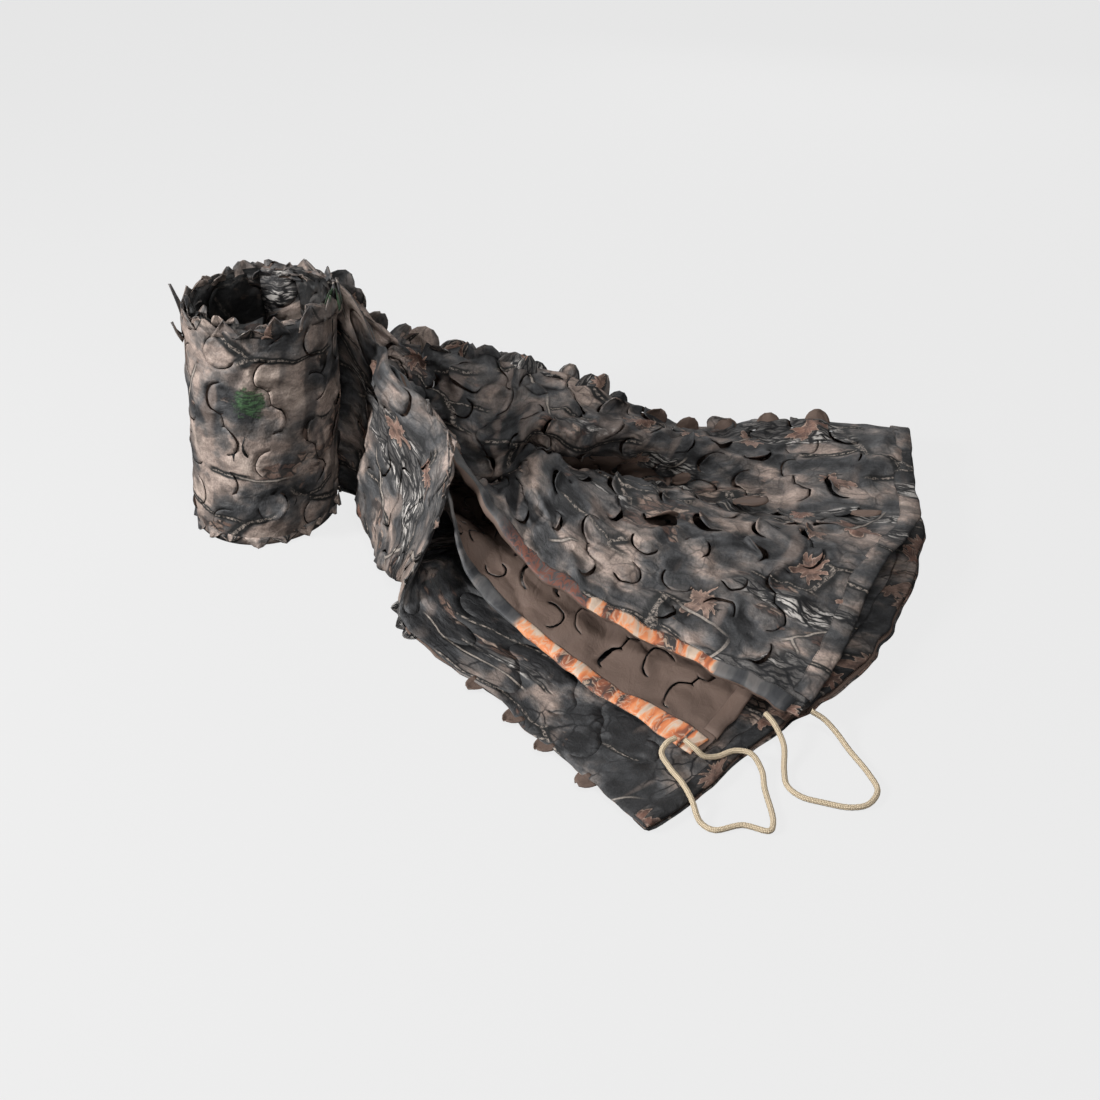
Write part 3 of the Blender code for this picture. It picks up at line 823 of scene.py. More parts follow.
@dataclass
class ClothStrip:
    """A narrow folded strip along an edge of the cloth, such as a casing or a hem.

    Args:
        name: the piece's name.
        surface: the cloth's surface.
        section: the strip's outline from its inner edge: across the cloth and height; hems run along instead.
        first: where it starts.
        last: where it ends.
        plain_from: the outline's step from which the plain side shows.
        crumple: the pile's wrinkles.
        turned: True for a strip on the cloth's plain side.
        along_end: True for a hem, whose outline runs along the cloth and which runs across it.
        print_shift: moves the print on the strip.
    """

    name: str
    surface: ClothSurface
    section: Sequence[tuple[float, float]]
    first: float
    last: float
    plain_from: int
    crumple: Crumple | None
    turned: bool = False
    along_end: bool = False
    print_shift: tuple[float, float] = (0.0, 0.0)
    thickness: float = 0.0008
    step: float = 0.006

    def build(self, front: bpy.types.Material, back: bpy.types.Material) -> bpy.types.Object:
        """Make the strip.

        Args:
            front: the outer side's finish.
            back: the finish from plain_from on.

        Returns:
            The finished piece.
        """
        count = max(2, int((self.last - self.first) / self.step))
        wide = len(self.section) - 1
        bm = bmesh.new()
        cloth = bm.loops.layers.uv.new("cloth")
        strip = bm.loops.layers.uv.new("strip")
        bmesh.ops.create_grid(bm, x_segments=wide, y_segments=count, size=0.5)
        corners = {}
        for vert in bm.verts:
            i, j = round((vert.co.x + 0.5) * wide), round((vert.co.y + 0.5) * count)
            travel = self.first + (self.last - self.first) * j / count
            place, height = self.section[i]
            flat = (travel, place) if self.along_end else (place, travel)
            rough = noise.noise(Vector((flat[0] * 55, flat[1] * 55, height * 300)))
            corners[vert] = (i, travel, flat, height * (1 + 0.25 * rough))
        order = list(bm.verts)
        placed = self.surface.lay(np.array([corners[vert][2][0] for vert in order]),
                                  np.array([corners[vert][2][1] for vert in order]),
                                  np.array([corners[vert][3] for vert in order]))
        if self.crumple:
            placed += self.crumple.shifts(placed)
        placed[:, 2] = np.maximum(placed[:, 2], LOWEST)
        for face in bm.faces:
            face.smooth = True
            low = min(corners[loop.vert][0] for loop in face.loops)
            face.material_index = 1 if low >= self.plain_from else 0
            for loop in face.loops:
                i, travel, flat, _ = corners[loop.vert]
                loop[strip].uv = (i / wide, travel)
                loop[cloth].uv = (flat[0] + self.print_shift[0], flat[1] + self.print_shift[1])
        for vert, place in zip(order, placed):
            vert.co = place
        if self.turned and self.along_end:
            bmesh.ops.reverse_faces(bm, faces=bm.faces)
        mesh = bpy.data.meshes.new(self.name)
        bm.to_mesh(mesh)
        bm.free()
        return cloth_piece(self.name, mesh, front, back, self.thickness)


@dataclass
class LooseLeaf:
    """A leaf that stands free of the cloth at a fold or a rim.

    Args:
        root: the middle of its base.
        outward: the way it points.
        side: the way its base runs.
        size: its half width and its reach.
        curl: how far it bends toward its front.
        pointed: 0 for a round leaf to 1 for a pointed one.
        oval: True for a whole oval instead of the outer half of one.
    """

    root: Vector
    outward: Vector
    side: Vector
    size: tuple[float, float]
    curl: float = 0.4
    pointed: float = 0.0
    oval: bool = False

    def add(self, bm: bmesh.types.BMesh, steps: int = 5) -> None:
        """Add the leaf to a mesh."""
        outward, side = self.outward.normalized(), self.side.normalized()
        front = side.cross(outward).normalized()
        made = bmesh.ops.create_grid(bm, x_segments=2 * steps, y_segments=steps, size=0.5)
        cloth = bm.loops.layers.uv["cloth"]
        faces = {face for vert in made["verts"] for face in vert.link_faces}
        for face in faces:
            face.smooth = True
            for loop in face.loops:
                loop[cloth].uv = (self.root.x * 1.7 + loop.vert.co.x * 0.04, self.root.y + loop.vert.co.y * 0.03)
        for vert in made["verts"]:
            u, v = vert.co.x * 2, vert.co.y + 0.5
            narrow = math.sqrt(max(1 - (v * 0.97) ** 2, 0)) * (1 - self.pointed) + (1 - v * 0.97) * self.pointed
            if self.oval:
                narrow = math.sqrt(max(1 - (0.94 * (2 * v - 1)) ** 2, 0))
            lift = (1 - math.cos(self.curl * v)) / max(abs(self.curl), 0.05) * math.copysign(1, self.curl)
            vert.co = (self.root + side * (u * narrow * self.size[0]) + outward * (v * self.size[1])
                       + front * (lift * self.size[1] + 0.0015 * math.sin(3 * u + 5 * self.root.x * 40)))


def leaf_piece(name: str, leaves: Iterable[LooseLeaf], front: bpy.types.Material,
               back: bpy.types.Material) -> bpy.types.Object:
    """Make one piece of several loose leaves.

    Args:
        name: the piece's name.
        leaves: the leaves.
        front: the finish of the side that faces the way they curl.
        back: the finish of their other side.

    Returns:
        The finished piece.
    """
    bm = bmesh.new()
    bm.loops.layers.uv.new("cloth")
    for leaf in leaves:
        leaf.add(bm)
    for vert in bm.verts:
        vert.co.z = max(vert.co.z, LOWEST)
    mesh = bpy.data.meshes.new(name)
    bm.to_mesh(mesh)
    bm.free()
    return cloth_piece(name, mesh, front, back)


# =====================================================================================================
# Finishes
# =====================================================================================================


class Graph:
    """A small helper that builds a finish's nodes."""

    def __init__(self, name: str) -> None:
        """Start a finish with a plain shader."""
        self.material = bpy.data.materials.new(name)
        self.material.use_nodes = True
        self.tree = self.material.node_tree
        self.shader = self.tree.nodes["Principled BSDF"]

    def node(self, kind: str, settings: dict | None = None, **inputs: object) -> bpy.types.Node:
        """Add a node, with settings and with inputs by their names, numbers or links."""
        made = self.tree.nodes.new(kind)
        for key, value in (settings or {}).items():
            setattr(made, key, value)
        for key, value in inputs.items():
            socket = made.inputs[int(key[1:])] if key[0] == "_" else made.inputs[key.replace("_", " ")]
            self.feed(socket, value)
        return made

    def feed(self, socket: bpy.types.NodeSocket, value: object) -> None:
        """Link a socket or set its value."""
        if isinstance(value, bpy.types.NodeSocket):
            self.tree.links.new(value, socket)
        else:
            socket.default_value = value

    def math(self, operation: str, *values: object, clamp: bool = False) -> bpy.types.NodeSocket:
        """Add a sum on numbers."""
        made = self.node("ShaderNodeMath", {"operation": operation, "use_clamp": clamp})
        for socket, value in zip(made.inputs, values):
            self.feed(socket, value)
        return made.outputs[0]

    def vector(self, operation: str, *values: object) -> bpy.types.NodeSocket:
        """Add a sum on vectors."""
        made = self.node("ShaderNodeVectorMath", {"operation": operation})
        for key, value in enumerate(values):
            if operation == "SCALE" and key == 1:
                self.feed(made.inputs["Scale"], value)
            else:
                self.feed(made.inputs[key], value)
        return made.outputs["Value" if operation in ("LENGTH", "DOT_PRODUCT") else "Vector"]

    def mapped(self, place: bpy.types.NodeSocket, scale: Sequence[float], turn: float = 0.0,
               shift: Sequence[float] = (0, 0, 0)) -> bpy.types.NodeSocket:
        """Scale, turn and shift a place."""
        made = self.node("ShaderNodeMapping", Vector=place)
        made.inputs["Scale"].default_value = (*scale, 1)[:3]
        made.inputs["Rotation"].default_value = (0, 0, turn)
        made.inputs["Location"].default_value = shift
        return made.outputs["Vector"]

    def noise(self, place: bpy.types.NodeSocket, scale: float = 1.0, detail: float = 2.0,
              rough: float = 0.5, bent: float = 0.0, colour: bool = False) -> bpy.types.NodeSocket:
        """Add cloudy noise."""
        made = self.node("ShaderNodeTexNoise", Vector=place, Scale=scale, Detail=detail, Roughness=rough,
                         Distortion=bent)
        return made.outputs["Color" if colour else "Fac"]

    def share(self, value: bpy.types.NodeSocket, low: float, high: float) -> bpy.types.NodeSocket:
        """Ease from 0 at low to 1 at high."""
        made = self.node("ShaderNodeMapRange", {"interpolation_type": "SMOOTHSTEP"}, Value=value)
        made.inputs["From Min"].default_value = low
        made.inputs["From Max"].default_value = high
        return made.outputs["Result"]

    def ramp(self, value: bpy.types.NodeSocket, stops: Iterable[tuple[float, Colour]]) -> bpy.types.NodeSocket:
        """Turn a number into a colour."""
        made = self.node("ShaderNodeValToRGB", Fac=value)
        elements = made.color_ramp.elements
        for k, (place, colour) in enumerate(stops):
            stop = elements[k] if k < 2 else elements.new(place)
            stop.position = place
            stop.color = (*colour, 1)
        return made.outputs["Color"]

    def mix(self, share: object, first: object, second: object, how: str = "MIX") -> bpy.types.NodeSocket:
        """Mix two colours."""
        made = self.node("ShaderNodeMix", {"data_type": "RGBA", "blend_type": how})
        self.feed(made.inputs[0], share)
        for socket, value in ((made.inputs[6], first), (made.inputs[7], second)):
            self.feed(socket, (*value, 1) if isinstance(value, tuple) else value)
        return made.outputs[2]

    def finish(self, colour: object, roughness: float, bump: bpy.types.NodeSocket | None, depth: float,
               sheen: float = 0.0) -> bpy.types.Material:
        """Join the colour and the bump to the shader."""
        self.feed(self.shader.inputs["Base Color"], (*colour, 1) if isinstance(colour, tuple) else colour)
        self.shader.inputs["Roughness"].default_value = roughness
        self.shader.inputs["Specular IOR Level"].default_value = 0.35
        self.shader.inputs["Sheen Weight"].default_value = sheen
        if bump is not None:
            made = self.node("ShaderNodeBump", Height=bump, Strength=1.0, Distance=depth)
            self.tree.links.new(made.outputs["Normal"], self.shader.inputs["Normal"])
        return self.material


@dataclass(frozen=True)
class WoodlandPrint:
    """A generic woodland print: soft blotches, bark, dry leaves, sprigs and twigs in muted colours.

    Args:
        name: the finish's name.
        bark: how much of the cloth the bark covers, 0 to 1.
        leafy: how many of the cells hold a dry leaf, 0 to 1.
        greens: how many of the cells hold a green sprig, 0 to 1.
        crackle: how strongly fine cracks darken the ground.
        warm: how much of the ground is taupe, 0 to 1.
        shift: moves the print on the cloth.
        bright: scales the whole print; on the roll's inner turns it darkens them as painted shade.
        stitched: True for a hem, which has a row of stitches.
        smear: how often the dark smears repeat in a metre, across and along.
    """

    name: str
    bark: float = 0.42
    leafy: float = 0.16
    greens: float = 0.0
    crackle: float = 0.5
    warm: float = 0.5
    shift: tuple[float, float, float] = (0.0, 0.0, 0.0)
    bright: float = 1.0
    stitched: bool = False
    smear: tuple[float, float] = (30.0, 9.0)
    charcoal: Colour = (0.017, 0.017, 0.018)
    slate: Colour = (0.058, 0.058, 0.060)
    stone: Colour = (0.140, 0.122, 0.112)
    taupe: Colour = (0.285, 0.222, 0.190)
    pale: Colour = (0.360, 0.290, 0.248)
    bark_light: Colour = (0.50, 0.47, 0.44)
    rust: Colour = (0.165, 0.075, 0.052)
    dry: Colour = (0.270, 0.180, 0.142)
    leaf_edge: Colour = (0.40, 0.285, 0.225)
    green: Colour = (0.055, 0.120, 0.050)
    twig: Colour = (0.42, 0.37, 0.32)

    def warped(self, g: Graph, place: bpy.types.NodeSocket, scale: float, reach: float) -> bpy.types.NodeSocket:
        """Bend a place by noise, so that nothing runs straight."""
        wander = g.vector("SUBTRACT", g.noise(place, scale, 2, colour=True), (0.5, 0.5, 0.5))
        return g.vector("ADD", place, g.vector("SCALE", wander, reach))

    def ground(self, g: Graph, place: bpy.types.NodeSocket) -> bpy.types.NodeSocket:
        """Paint the soft blotches, the smears and the fine cracks."""
        soft = self.warped(g, place, 9, 0.035)
        cloud = g.noise(g.mapped(soft, (15, 11)), 1, 4, 0.58)
        low = 0.62 - 0.16 * self.warm
        colour = g.ramp(cloud, ((low - 0.15, self.charcoal), (low - 0.07, self.slate), (low, self.stone),
                                (low + 0.06, self.taupe), (low + 0.16, self.pale)))
        smear = g.share(g.noise(g.mapped(soft, self.smear, 0.1, (3, 1, 0)), 1, 2), 0.50, 0.62)
        colour = g.mix(g.math("MULTIPLY", smear, 0.66), colour, (0.034, 0.035, 0.037))
        mottle = g.ramp(g.noise(g.mapped(soft, (75, 48), 0.2), 1, 4, 0.65), ((0.36, (0.62,) * 3), (0.64, (1.32,) * 3)))
        colour = g.mix(1.0, colour, mottle, "MULTIPLY")
        glow = g.share(g.noise(g.mapped(soft, (9, 30), 0.1, (7, 5, 0)), 1, 1), 0.58, 0.70)
        colour = g.mix(g.math("MULTIPLY", glow, 0.45), colour, self.taupe)
        cracks = g.node("ShaderNodeTexVoronoi", {"voronoi_dimensions": "2D", "feature": "DISTANCE_TO_EDGE"},
                        Vector=self.warped(g, place, 60, 0.012), Scale=48.0)
        crack = g.math("MULTIPLY", g.share(cracks.outputs["Distance"], 0.10, 0.0),
                       g.share(g.noise(place, 12, 2), 0.42, 0.60))
        return g.mix(g.math("MULTIPLY", crack, self.crackle), colour, (0.010, 0.010, 0.011))

    def bark_mask(self, g: Graph, place: bpy.types.NodeSocket) -> bpy.types.NodeSocket:
        """Say where the bark lies: long bands along the cloth."""
        band = g.noise(g.mapped(self.warped(g, place, 6, 0.06), (8.0, 2.0), 0.25, (1.7, 4.1, 0)), 1, 2)
        edge = 0.68 - 0.30 * self.bark
        return g.share(band, edge, edge + 0.030)

    def bark_colour(self, g: Graph, place: bpy.types.NodeSocket) -> bpy.types.NodeSocket:
        """Paint the bark: long plates with pale ridges between dark furrows."""
        bent = self.warped(g, self.warped(g, place, 16, 0.010), 90, 0.005)
        plates = g.node("ShaderNodeTexVoronoi", {"voronoi_dimensions": "2D", "feature": "DISTANCE_TO_EDGE"},
                        Vector=g.mapped(bent, (120, 34), 0.22), Scale=1.0)
        ridge = g.noise(g.mapped(bent, (210, 44), 0.22), 1, 3, 0.7)
        strip = g.noise(g.mapped(bent, (34, 9), 0.22, (9, 2, 0)), 1, 2)
        plate = g.share(plates.outputs["Distance"], 0.05, 0.16)
        pale = g.math("MULTIPLY", g.math("MULTIPLY", plate, g.share(ridge, 0.47, 0.56)), g.share(strip, 0.49, 0.56))
        ground = g.mix(g.math("MULTIPLY", plate, g.share(ridge, 0.34, 0.62)), (0.012, 0.012, 0.013),
                       (0.098, 0.092, 0.088))
        return g.mix(g.math("MULTIPLY", pale, 0.85), ground, self.bark_light)

    def dry_leaves(self, g: Graph, place: bpy.types.NodeSocket, colour: bpy.types.NodeSocket, scale: float,
                   shift: float) -> bpy.types.NodeSocket:
        """Paint frayed dry leaves here and there, with pale edges, veins and a shadow.

        Args:
            g: the finish's nodes.
            place: the place on the cloth.
            colour: what they lie on.
            scale: cells to a metre.
            shift: moves the cells.

        Returns:
            The colour with the leaves on it.
        """
        moved = g.vector("ADD", self.warped(g, place, 34, 0.016), (shift, shift, 0))
        cells = g.node("ShaderNodeTexVoronoi", {"voronoi_dimensions": "2D"}, Vector=moved, Scale=scale,
                       Randomness=0.55)
        away = g.vector("SCALE", g.vector("SUBTRACT", moved, cells.outputs["Position"]), scale)
        pick = g.node("ShaderNodeSeparateColor", Color=cells.outputs["Color"])
        parts = g.node("ShaderNodeSeparateXYZ", Vector=away)
        angle = g.math("ARCTAN2", parts.outputs["Y"], parts.outputs["X"])
        angle = g.math("ADD", angle, g.math("MULTIPLY", pick.outputs["Green"], 6.28))
        fray = g.math("MULTIPLY", g.math("SUBTRACT", g.noise(moved, 130, 2), 0.5), 0.06)
        around = g.node("ShaderNodeCombineXYZ", X=g.math("MULTIPLY", g.math("COSINE", angle), 1.5),
                        Y=g.math("MULTIPLY", g.math("SINE", angle), 1.5),
                        Z=g.math("MULTIPLY", pick.outputs["Blue"], 40.0)).outputs["Vector"]
        lobe = g.share(g.noise(around, 1.0, 2, 0.6), 0.38, 0.66)
        long = g.math("ADD", g.math("MULTIPLY", g.math("ABSOLUTE", g.math("COSINE", angle)), 0.65), 0.55)
        limit = g.math("ADD", g.math("MULTIPLY", g.math("ADD", g.math("MULTIPLY", lobe, 0.15), 0.095), long), fray)
        inside = g.math("SUBTRACT", limit, g.vector("LENGTH", away))
        chosen = g.math("LESS_THAN", pick.outputs["Red"], self.leafy)
        shadow = g.math("MULTIPLY", g.share(inside, -0.07, 0.0), chosen)
        leaf = g.math("MULTIPLY", g.share(inside, 0.0, 0.010), chosen)
        core = g.share(inside, 0.004, 0.030)
        vein = g.share(g.math("ABSOLUTE", g.math("SINE", g.math("MULTIPLY", angle, 5.0))), 0.30, 0.0)
        body = g.mix(pick.outputs["Blue"], self.rust, self.dry)
        body = g.mix(g.math("MULTIPLY", g.share(g.noise(moved, 90, 4), 0.42, 0.62), 0.75), body,
                     (0.060, 0.038, 0.032))
        body = g.mix(core, self.leaf_edge, body)
        body = g.mix(g.math("MULTIPLY", vein, 0.4), body, self.leaf_edge)
        colour = g.mix(g.math("MULTIPLY", shadow, 0.75), colour, (0.012, 0.011, 0.011))
        return g.mix(g.math("MULTIPLY", leaf, 0.9), colour, body)

    def litter(self, g: Graph, place: bpy.types.NodeSocket, colour: bpy.types.NodeSocket) -> bpy.types.NodeSocket:
        """Paint patches of leaf litter: small overlapping brown and tan scraps with dark edges."""
        where = g.share(g.noise(g.mapped(place, (11, 7), 0, (5.5, 2.2, 0)), 1, 4, 0.6), 0.59, 0.62)
        bent = g.mapped(self.warped(g, self.warped(g, place, 30, 0.016), 120, 0.006), (120, 58), 0.6)
        scraps = g.node("ShaderNodeTexVoronoi", {"voronoi_dimensions": "2D"}, Vector=bent, Scale=1.0)
        edges = g.node("ShaderNodeTexVoronoi", {"voronoi_dimensions": "2D", "feature": "DISTANCE_TO_EDGE"},
                       Vector=bent, Scale=1.0)
        pick = g.node("ShaderNodeSeparateColor", Color=scraps.outputs["Color"])
        body = g.ramp(pick.outputs["Red"], ((0.10, (0.030, 0.025, 0.024)), (0.40, (0.105, 0.058, 0.045)),
                                            (0.65, (0.200, 0.125, 0.095)), (0.90, (0.34, 0.255, 0.205))))
        body = g.mix(g.math("MULTIPLY", g.share(g.noise(bent, 3.0, 3), 0.42, 0.64), 0.7), body, (0.045, 0.034, 0.030))
        body = g.mix(g.share(edges.outputs["Distance"], 0.20, 0.04), body, (0.018, 0.015, 0.014))
        return g.mix(g.math("MULTIPLY", where, 0.80), colour, body)

    def sprigs(self, g: Graph, place: bpy.types.NodeSocket, colour: bpy.types.NodeSocket) -> bpy.types.NodeSocket:
        """Paint small green sprigs."""
        cells = g.node("ShaderNodeTexVoronoi", {"voronoi_dimensions": "2D"}, Vector=g.vector(
            "ADD", place, (-0.159, 0.104, 0.0)), Scale=5.5, Randomness=0.35)
        pick = g.node("ShaderNodeSeparateColor", Color=cells.outputs["Color"])
        near = g.math("ADD", cells.outputs["Distance"], g.math("MULTIPLY", g.noise(place, 110, 4, 0.7), 0.26))
        mask = g.math("MULTIPLY", g.share(near, 0.25, 0.21), g.math("LESS_THAN", pick.outputs["Red"], self.greens))
        needles = g.share(g.noise(g.mapped(place, (330, 110), 0.9), 1, 2), 0.38, 0.62)
        return g.mix(g.math("MULTIPLY", mask, 0.85), colour, g.mix(needles, (0.016, 0.030, 0.016), self.green))

    def twigs(self, g: Graph, place: bpy.types.NodeSocket, colour: bpy.types.NodeSocket) -> bpy.types.NodeSocket:
        """Paint thin pale twigs, each with a dark lower side."""
        bent = self.warped(g, place, 6, 0.05)
        edges = g.node("ShaderNodeTexVoronoi", {"voronoi_dimensions": "2D", "feature": "DISTANCE_TO_EDGE"},
                       Vector=bent, Scale=4.2)
        keep = g.share(g.noise(g.mapped(place, (9, 9), 0, (8, 8, 0)), 1, 1), 0.52, 0.57)
        line = g.math("MULTIPLY", g.share(edges.outputs["Distance"], 0.0075, 0.0040), keep)
        shade = g.math("MULTIPLY", g.share(edges.outputs["Distance"], 0.022, 0.008), keep)
        colour = g.mix(g.math("MULTIPLY", shade, 0.75), colour, (0.018, 0.017, 0.017))
        return g.mix(line, colour, g.mix(g.noise(place, 240, 2), (0.13, 0.11, 0.10), self.twig))

    def branches(self, g: Graph, place: bpy.types.NodeSocket, colour: bpy.types.NodeSocket) -> bpy.types.NodeSocket:
        """Paint dark branches with a pale upper side and a fine grain."""
        bent = self.warped(g, self.warped(g, place, 4, 0.05), 50, 0.004)
        edges = g.node("ShaderNodeTexVoronoi", {"voronoi_dimensions": "2D", "feature": "DISTANCE_TO_EDGE"},
                       Vector=g.mapped(bent, (13.0, 4.5), 0.30, (2.3, 6.1, 0)), Scale=1.0)
        near = g.math("ADD", edges.outputs["Distance"], g.math("MULTIPLY", g.noise(place, 40, 2), 0.04))
        keep = g.share(g.noise(g.mapped(place, (8, 8), 0, (3, 9, 0)), 1, 1), 0.50, 0.53)
        grain = g.share(g.noise(place, 260, 3, 0.7), 0.42, 0.62)
        colour = g.mix(g.math("MULTIPLY", g.share(near, 0.085, 0.055), keep), colour, (0.014, 0.014, 0.014))
        return g.mix(g.math("MULTIPLY", g.math("MULTIPLY", g.share(near, 0.038, 0.032), keep), grain), colour,
                     (0.26, 0.22, 0.19))

    def material(self) -> bpy.types.Material:
        """Build the finish."""
        g = Graph(self.name)
        cloth = g.node("ShaderNodeUVMap", {"uv_map": "cloth"}).outputs["UV"]
        place = g.mapped(cloth, (1, 1, 1), 0.0, self.shift)
        colour = self.ground(g, place)
        colour = self.litter(g, place, colour)
        colour = self.branches(g, place, colour)
        colour = g.mix(self.bark_mask(g, place), colour, self.bark_colour(g, place))
        colour = self.dry_leaves(g, place, colour, 9.0, 0.0)
        colour = self.dry_leaves(g, place, colour, 12.0, 3.3)
        if self.greens:
            colour = self.sprigs(g, place, colour)
        colour = self.twigs(g, place, colour)
        grain = g.noise(place, 420, 2)
        colour = g.mix(1.0, colour, g.ramp(grain, ((0.30, (0.82,) * 3), (0.70, (1.18,) * 3))), "MULTIPLY")
        colour = g.mix(1.0, colour, (self.bright,) * 3, "MULTIPLY")
        height = g.math("ADD", g.noise(place, 70, 4, 0.6, 0.4), g.math("MULTIPLY", g.noise(place, 900, 1), 0.10))
        if self.stitched:
            parts = g.node("ShaderNodeSeparateXYZ", Vector=g.node("ShaderNodeUVMap", {"uv_map": "strip"}).outputs["UV"])
            stitch = stitches(g, parts.outputs["X"], parts.outputs["Y"])
            colour = g.mix(g.math("MULTIPLY", stitch, 0.6), colour, (0.030, 0.028, 0.026))
            height = g.math("SUBTRACT", height, g.math("MULTIPLY", stitch, 0.6))
        return g.finish(colour, 0.62, height, 0.0028, 0.0)


def stitches(g: Graph, across: bpy.types.NodeSocket, along: bpy.types.NodeSocket) -> bpy.types.NodeSocket:
    """Mark a row of stitches near a strip's inner edge."""
    row = g.share(g.math("ABSOLUTE", g.math("SUBTRACT", across, 0.09)), 0.05, 0.02)
    dash = g.math("GREATER_THAN", g.math("FRACT", g.math("MULTIPLY", along, 300.0)), 0.3)
    return g.math("MULTIPLY", row, dash)


@dataclass(frozen=True)
class PlainReverse:
    """The cloth's plain brown back, a little uneven."""

    name: str
    dark: Colour = (0.086, 0.058, 0.046)
    light: Colour = (0.140, 0.096, 0.076)

    def material(self) -> bpy.types.Material:
        """Build the finish."""
        g = Graph(self.name)
        place = g.node("ShaderNodeUVMap", {"uv_map": "cloth"}).outputs["UV"]
        colour = g.mix(g.noise(place, 14, 3), self.dark, self.light)
        height = g.math("ADD", g.noise(place, 40, 4, 0.6, 0.5), g.math("MULTIPLY", g.noise(place, 900, 1), 0.1))
        return g.finish(colour, 0.70, height, 0.0025, 0.0)


@dataclass(frozen=True)
class CasingPrint:
    """A casing's own print: a dark part, then blocks of orange, cream and tan, with a row of stitches.

    The strip's own map runs 0 to 1 across it and in metres along it.

    Args:
        name: the finish's name.
        warm_from: where its warm blocks start along it.
        warm_to: where they end.
        shift: moves the blocks.
        rust: how rusty the stretch before the warm blocks is.
    """

    name: str
    warm_from: float
    warm_to: float
    shift: float = 0.0
    rust: float = 0.0

    def material(self) -> bpy.types.Material:
        """Build the finish."""
        g = Graph(self.name)
        place = g.node("ShaderNodeUVMap", {"uv_map": "strip"}).outputs["UV"]
        parts = g.node("ShaderNodeSeparateXYZ", Vector=place)
        metres = g.node("ShaderNodeCombineXYZ", X=g.math("MULTIPLY", parts.outputs["X"], 0.02),
                        Y=g.math("ADD", parts.outputs["Y"], self.shift)).outputs["Vector"]
        slant = g.vector("ADD", metres, g.vector("SCALE", g.vector(
            "SUBTRACT", g.noise(metres, 60, 2, colour=True), (0.5, 0.5, 0.5)), 0.026))
        block = g.noise(g.mapped(slant, (16, 36), 0.5, (3.3, 0.4, 0)), 1, 3, 0.62)
        warm = g.ramp(block, ((0.37, (0.035, 0.030, 0.029)), (0.43, (0.22, 0.070, 0.035)), (0.47, (0.52, 0.150, 0.052)),
                              (0.53, (0.62, 0.24, 0.10)), (0.57, (0.52, 0.41, 0.32)), (0.66, (0.36, 0.27, 0.21))))
        feather = g.noise(g.mapped(slant, (500, 160), 0.7), 1, 2)
        warm = g.mix(g.math("MULTIPLY", g.share(feather, 0.50, 0.60), 0.55), warm, (0.50, 0.36, 0.26))
        dark = g.ramp(block, ((0.40, (0.030, 0.031, 0.034)), (0.55, (0.075, 0.073, 0.073)), (0.64, (0.115, 0.105, 0.10))))
        wander = g.math("ADD", parts.outputs["Y"], g.math("MULTIPLY", block, 0.05))
        part = g.math("MULTIPLY", g.share(wander, self.warm_from, self.warm_from + 0.012),
                      g.share(wander, self.warm_to + 0.012, self.warm_to))
        rusty = g.math("MULTIPLY", g.share(wander, self.warm_from - 0.15, self.warm_from - 0.11),
                       g.share(feather, 0.36, 0.58))
        rusty = g.math("MULTIPLY", rusty, g.share(wander, self.warm_to, self.warm_to - 0.02))
        dark = g.mix(g.math("MULTIPLY", rusty, self.rust), dark, (0.150, 0.052, 0.033))
        colour = g.mix(part, dark, warm)
        stitch = stitches(g, parts.outputs["X"], parts.outputs["Y"])
        colour = g.mix(g.math("MULTIPLY", stitch, 0.7), colour, (0.050, 0.042, 0.036))
        height = g.math("SUBTRACT", g.noise(metres, 120, 3), g.math("MULTIPLY", stitch, 1.2))
        return g.finish(colour, 0.6, height, 0.0012, 0.08)


@dataclass(frozen=True)
class BraidedCord:
    """The drawcords' beige braid: small slanting strands, a little worn."""

    name: str
    light: Colour = (0.66, 0.545, 0.385)
    dark: Colour = (0.36, 0.275, 0.175)

    def material(self) -> bpy.types.Material:
        """Build the finish. The cord's map runs 0 to 1 around it and in metres along it."""
        g = Graph(self.name)
        place = g.node("ShaderNodeUVMap", {"uv_map": "braid"}).outputs["UV"]
        parts = g.node("ShaderNodeSeparateXYZ", Vector=place)
        turn = g.math("MULTIPLY", parts.outputs["X"], 2 * math.pi)
        climb = g.math("MULTIPLY", parts.outputs["Y"], 2 * math.pi * 330)
        one = g.math("SINE", g.math("ADD", g.math("MULTIPLY", turn, 4), climb))
        two = g.math("SINE", g.math("SUBTRACT", g.math("MULTIPLY", turn, 4), climb))
        strands = g.share(g.math("MULTIPLY", one, two), -0.7, 0.5)
        colour = g.mix(strands, self.dark, self.light)
        colour = g.mix(g.math("MULTIPLY", g.noise(g.mapped(place, (3, 90)), 1, 3), 0.3), colour, (0.50, 0.41, 0.29))
        return g.finish(colour, 0.75, strands, 0.0006, 0.1)


@dataclass(frozen=True)
class PaleFloor:
    """The plain pale floor."""

    name: str = "pale_floor"
    level: float = 0.785

    def material(self) -> bpy.types.Material:
        """Build the finish: mostly its own even light, so that only a faint shadow falls on it."""
        g = Graph(self.name)
        g.shader.inputs["Base Color"].default_value = (0.04, 0.04, 0.04, 1)
        g.shader.inputs["Roughness"].default_value = 0.9
        g.shader.inputs["Specular IOR Level"].default_value = 0.0
        g.shader.inputs["Emission Color"].default_value = (1, 1, 1, 1)
        g.shader.inputs["Emission Strength"].default_value = self.level
        return g.material


# =====================================================================================================
# Sub-assemblies
# =====================================================================================================


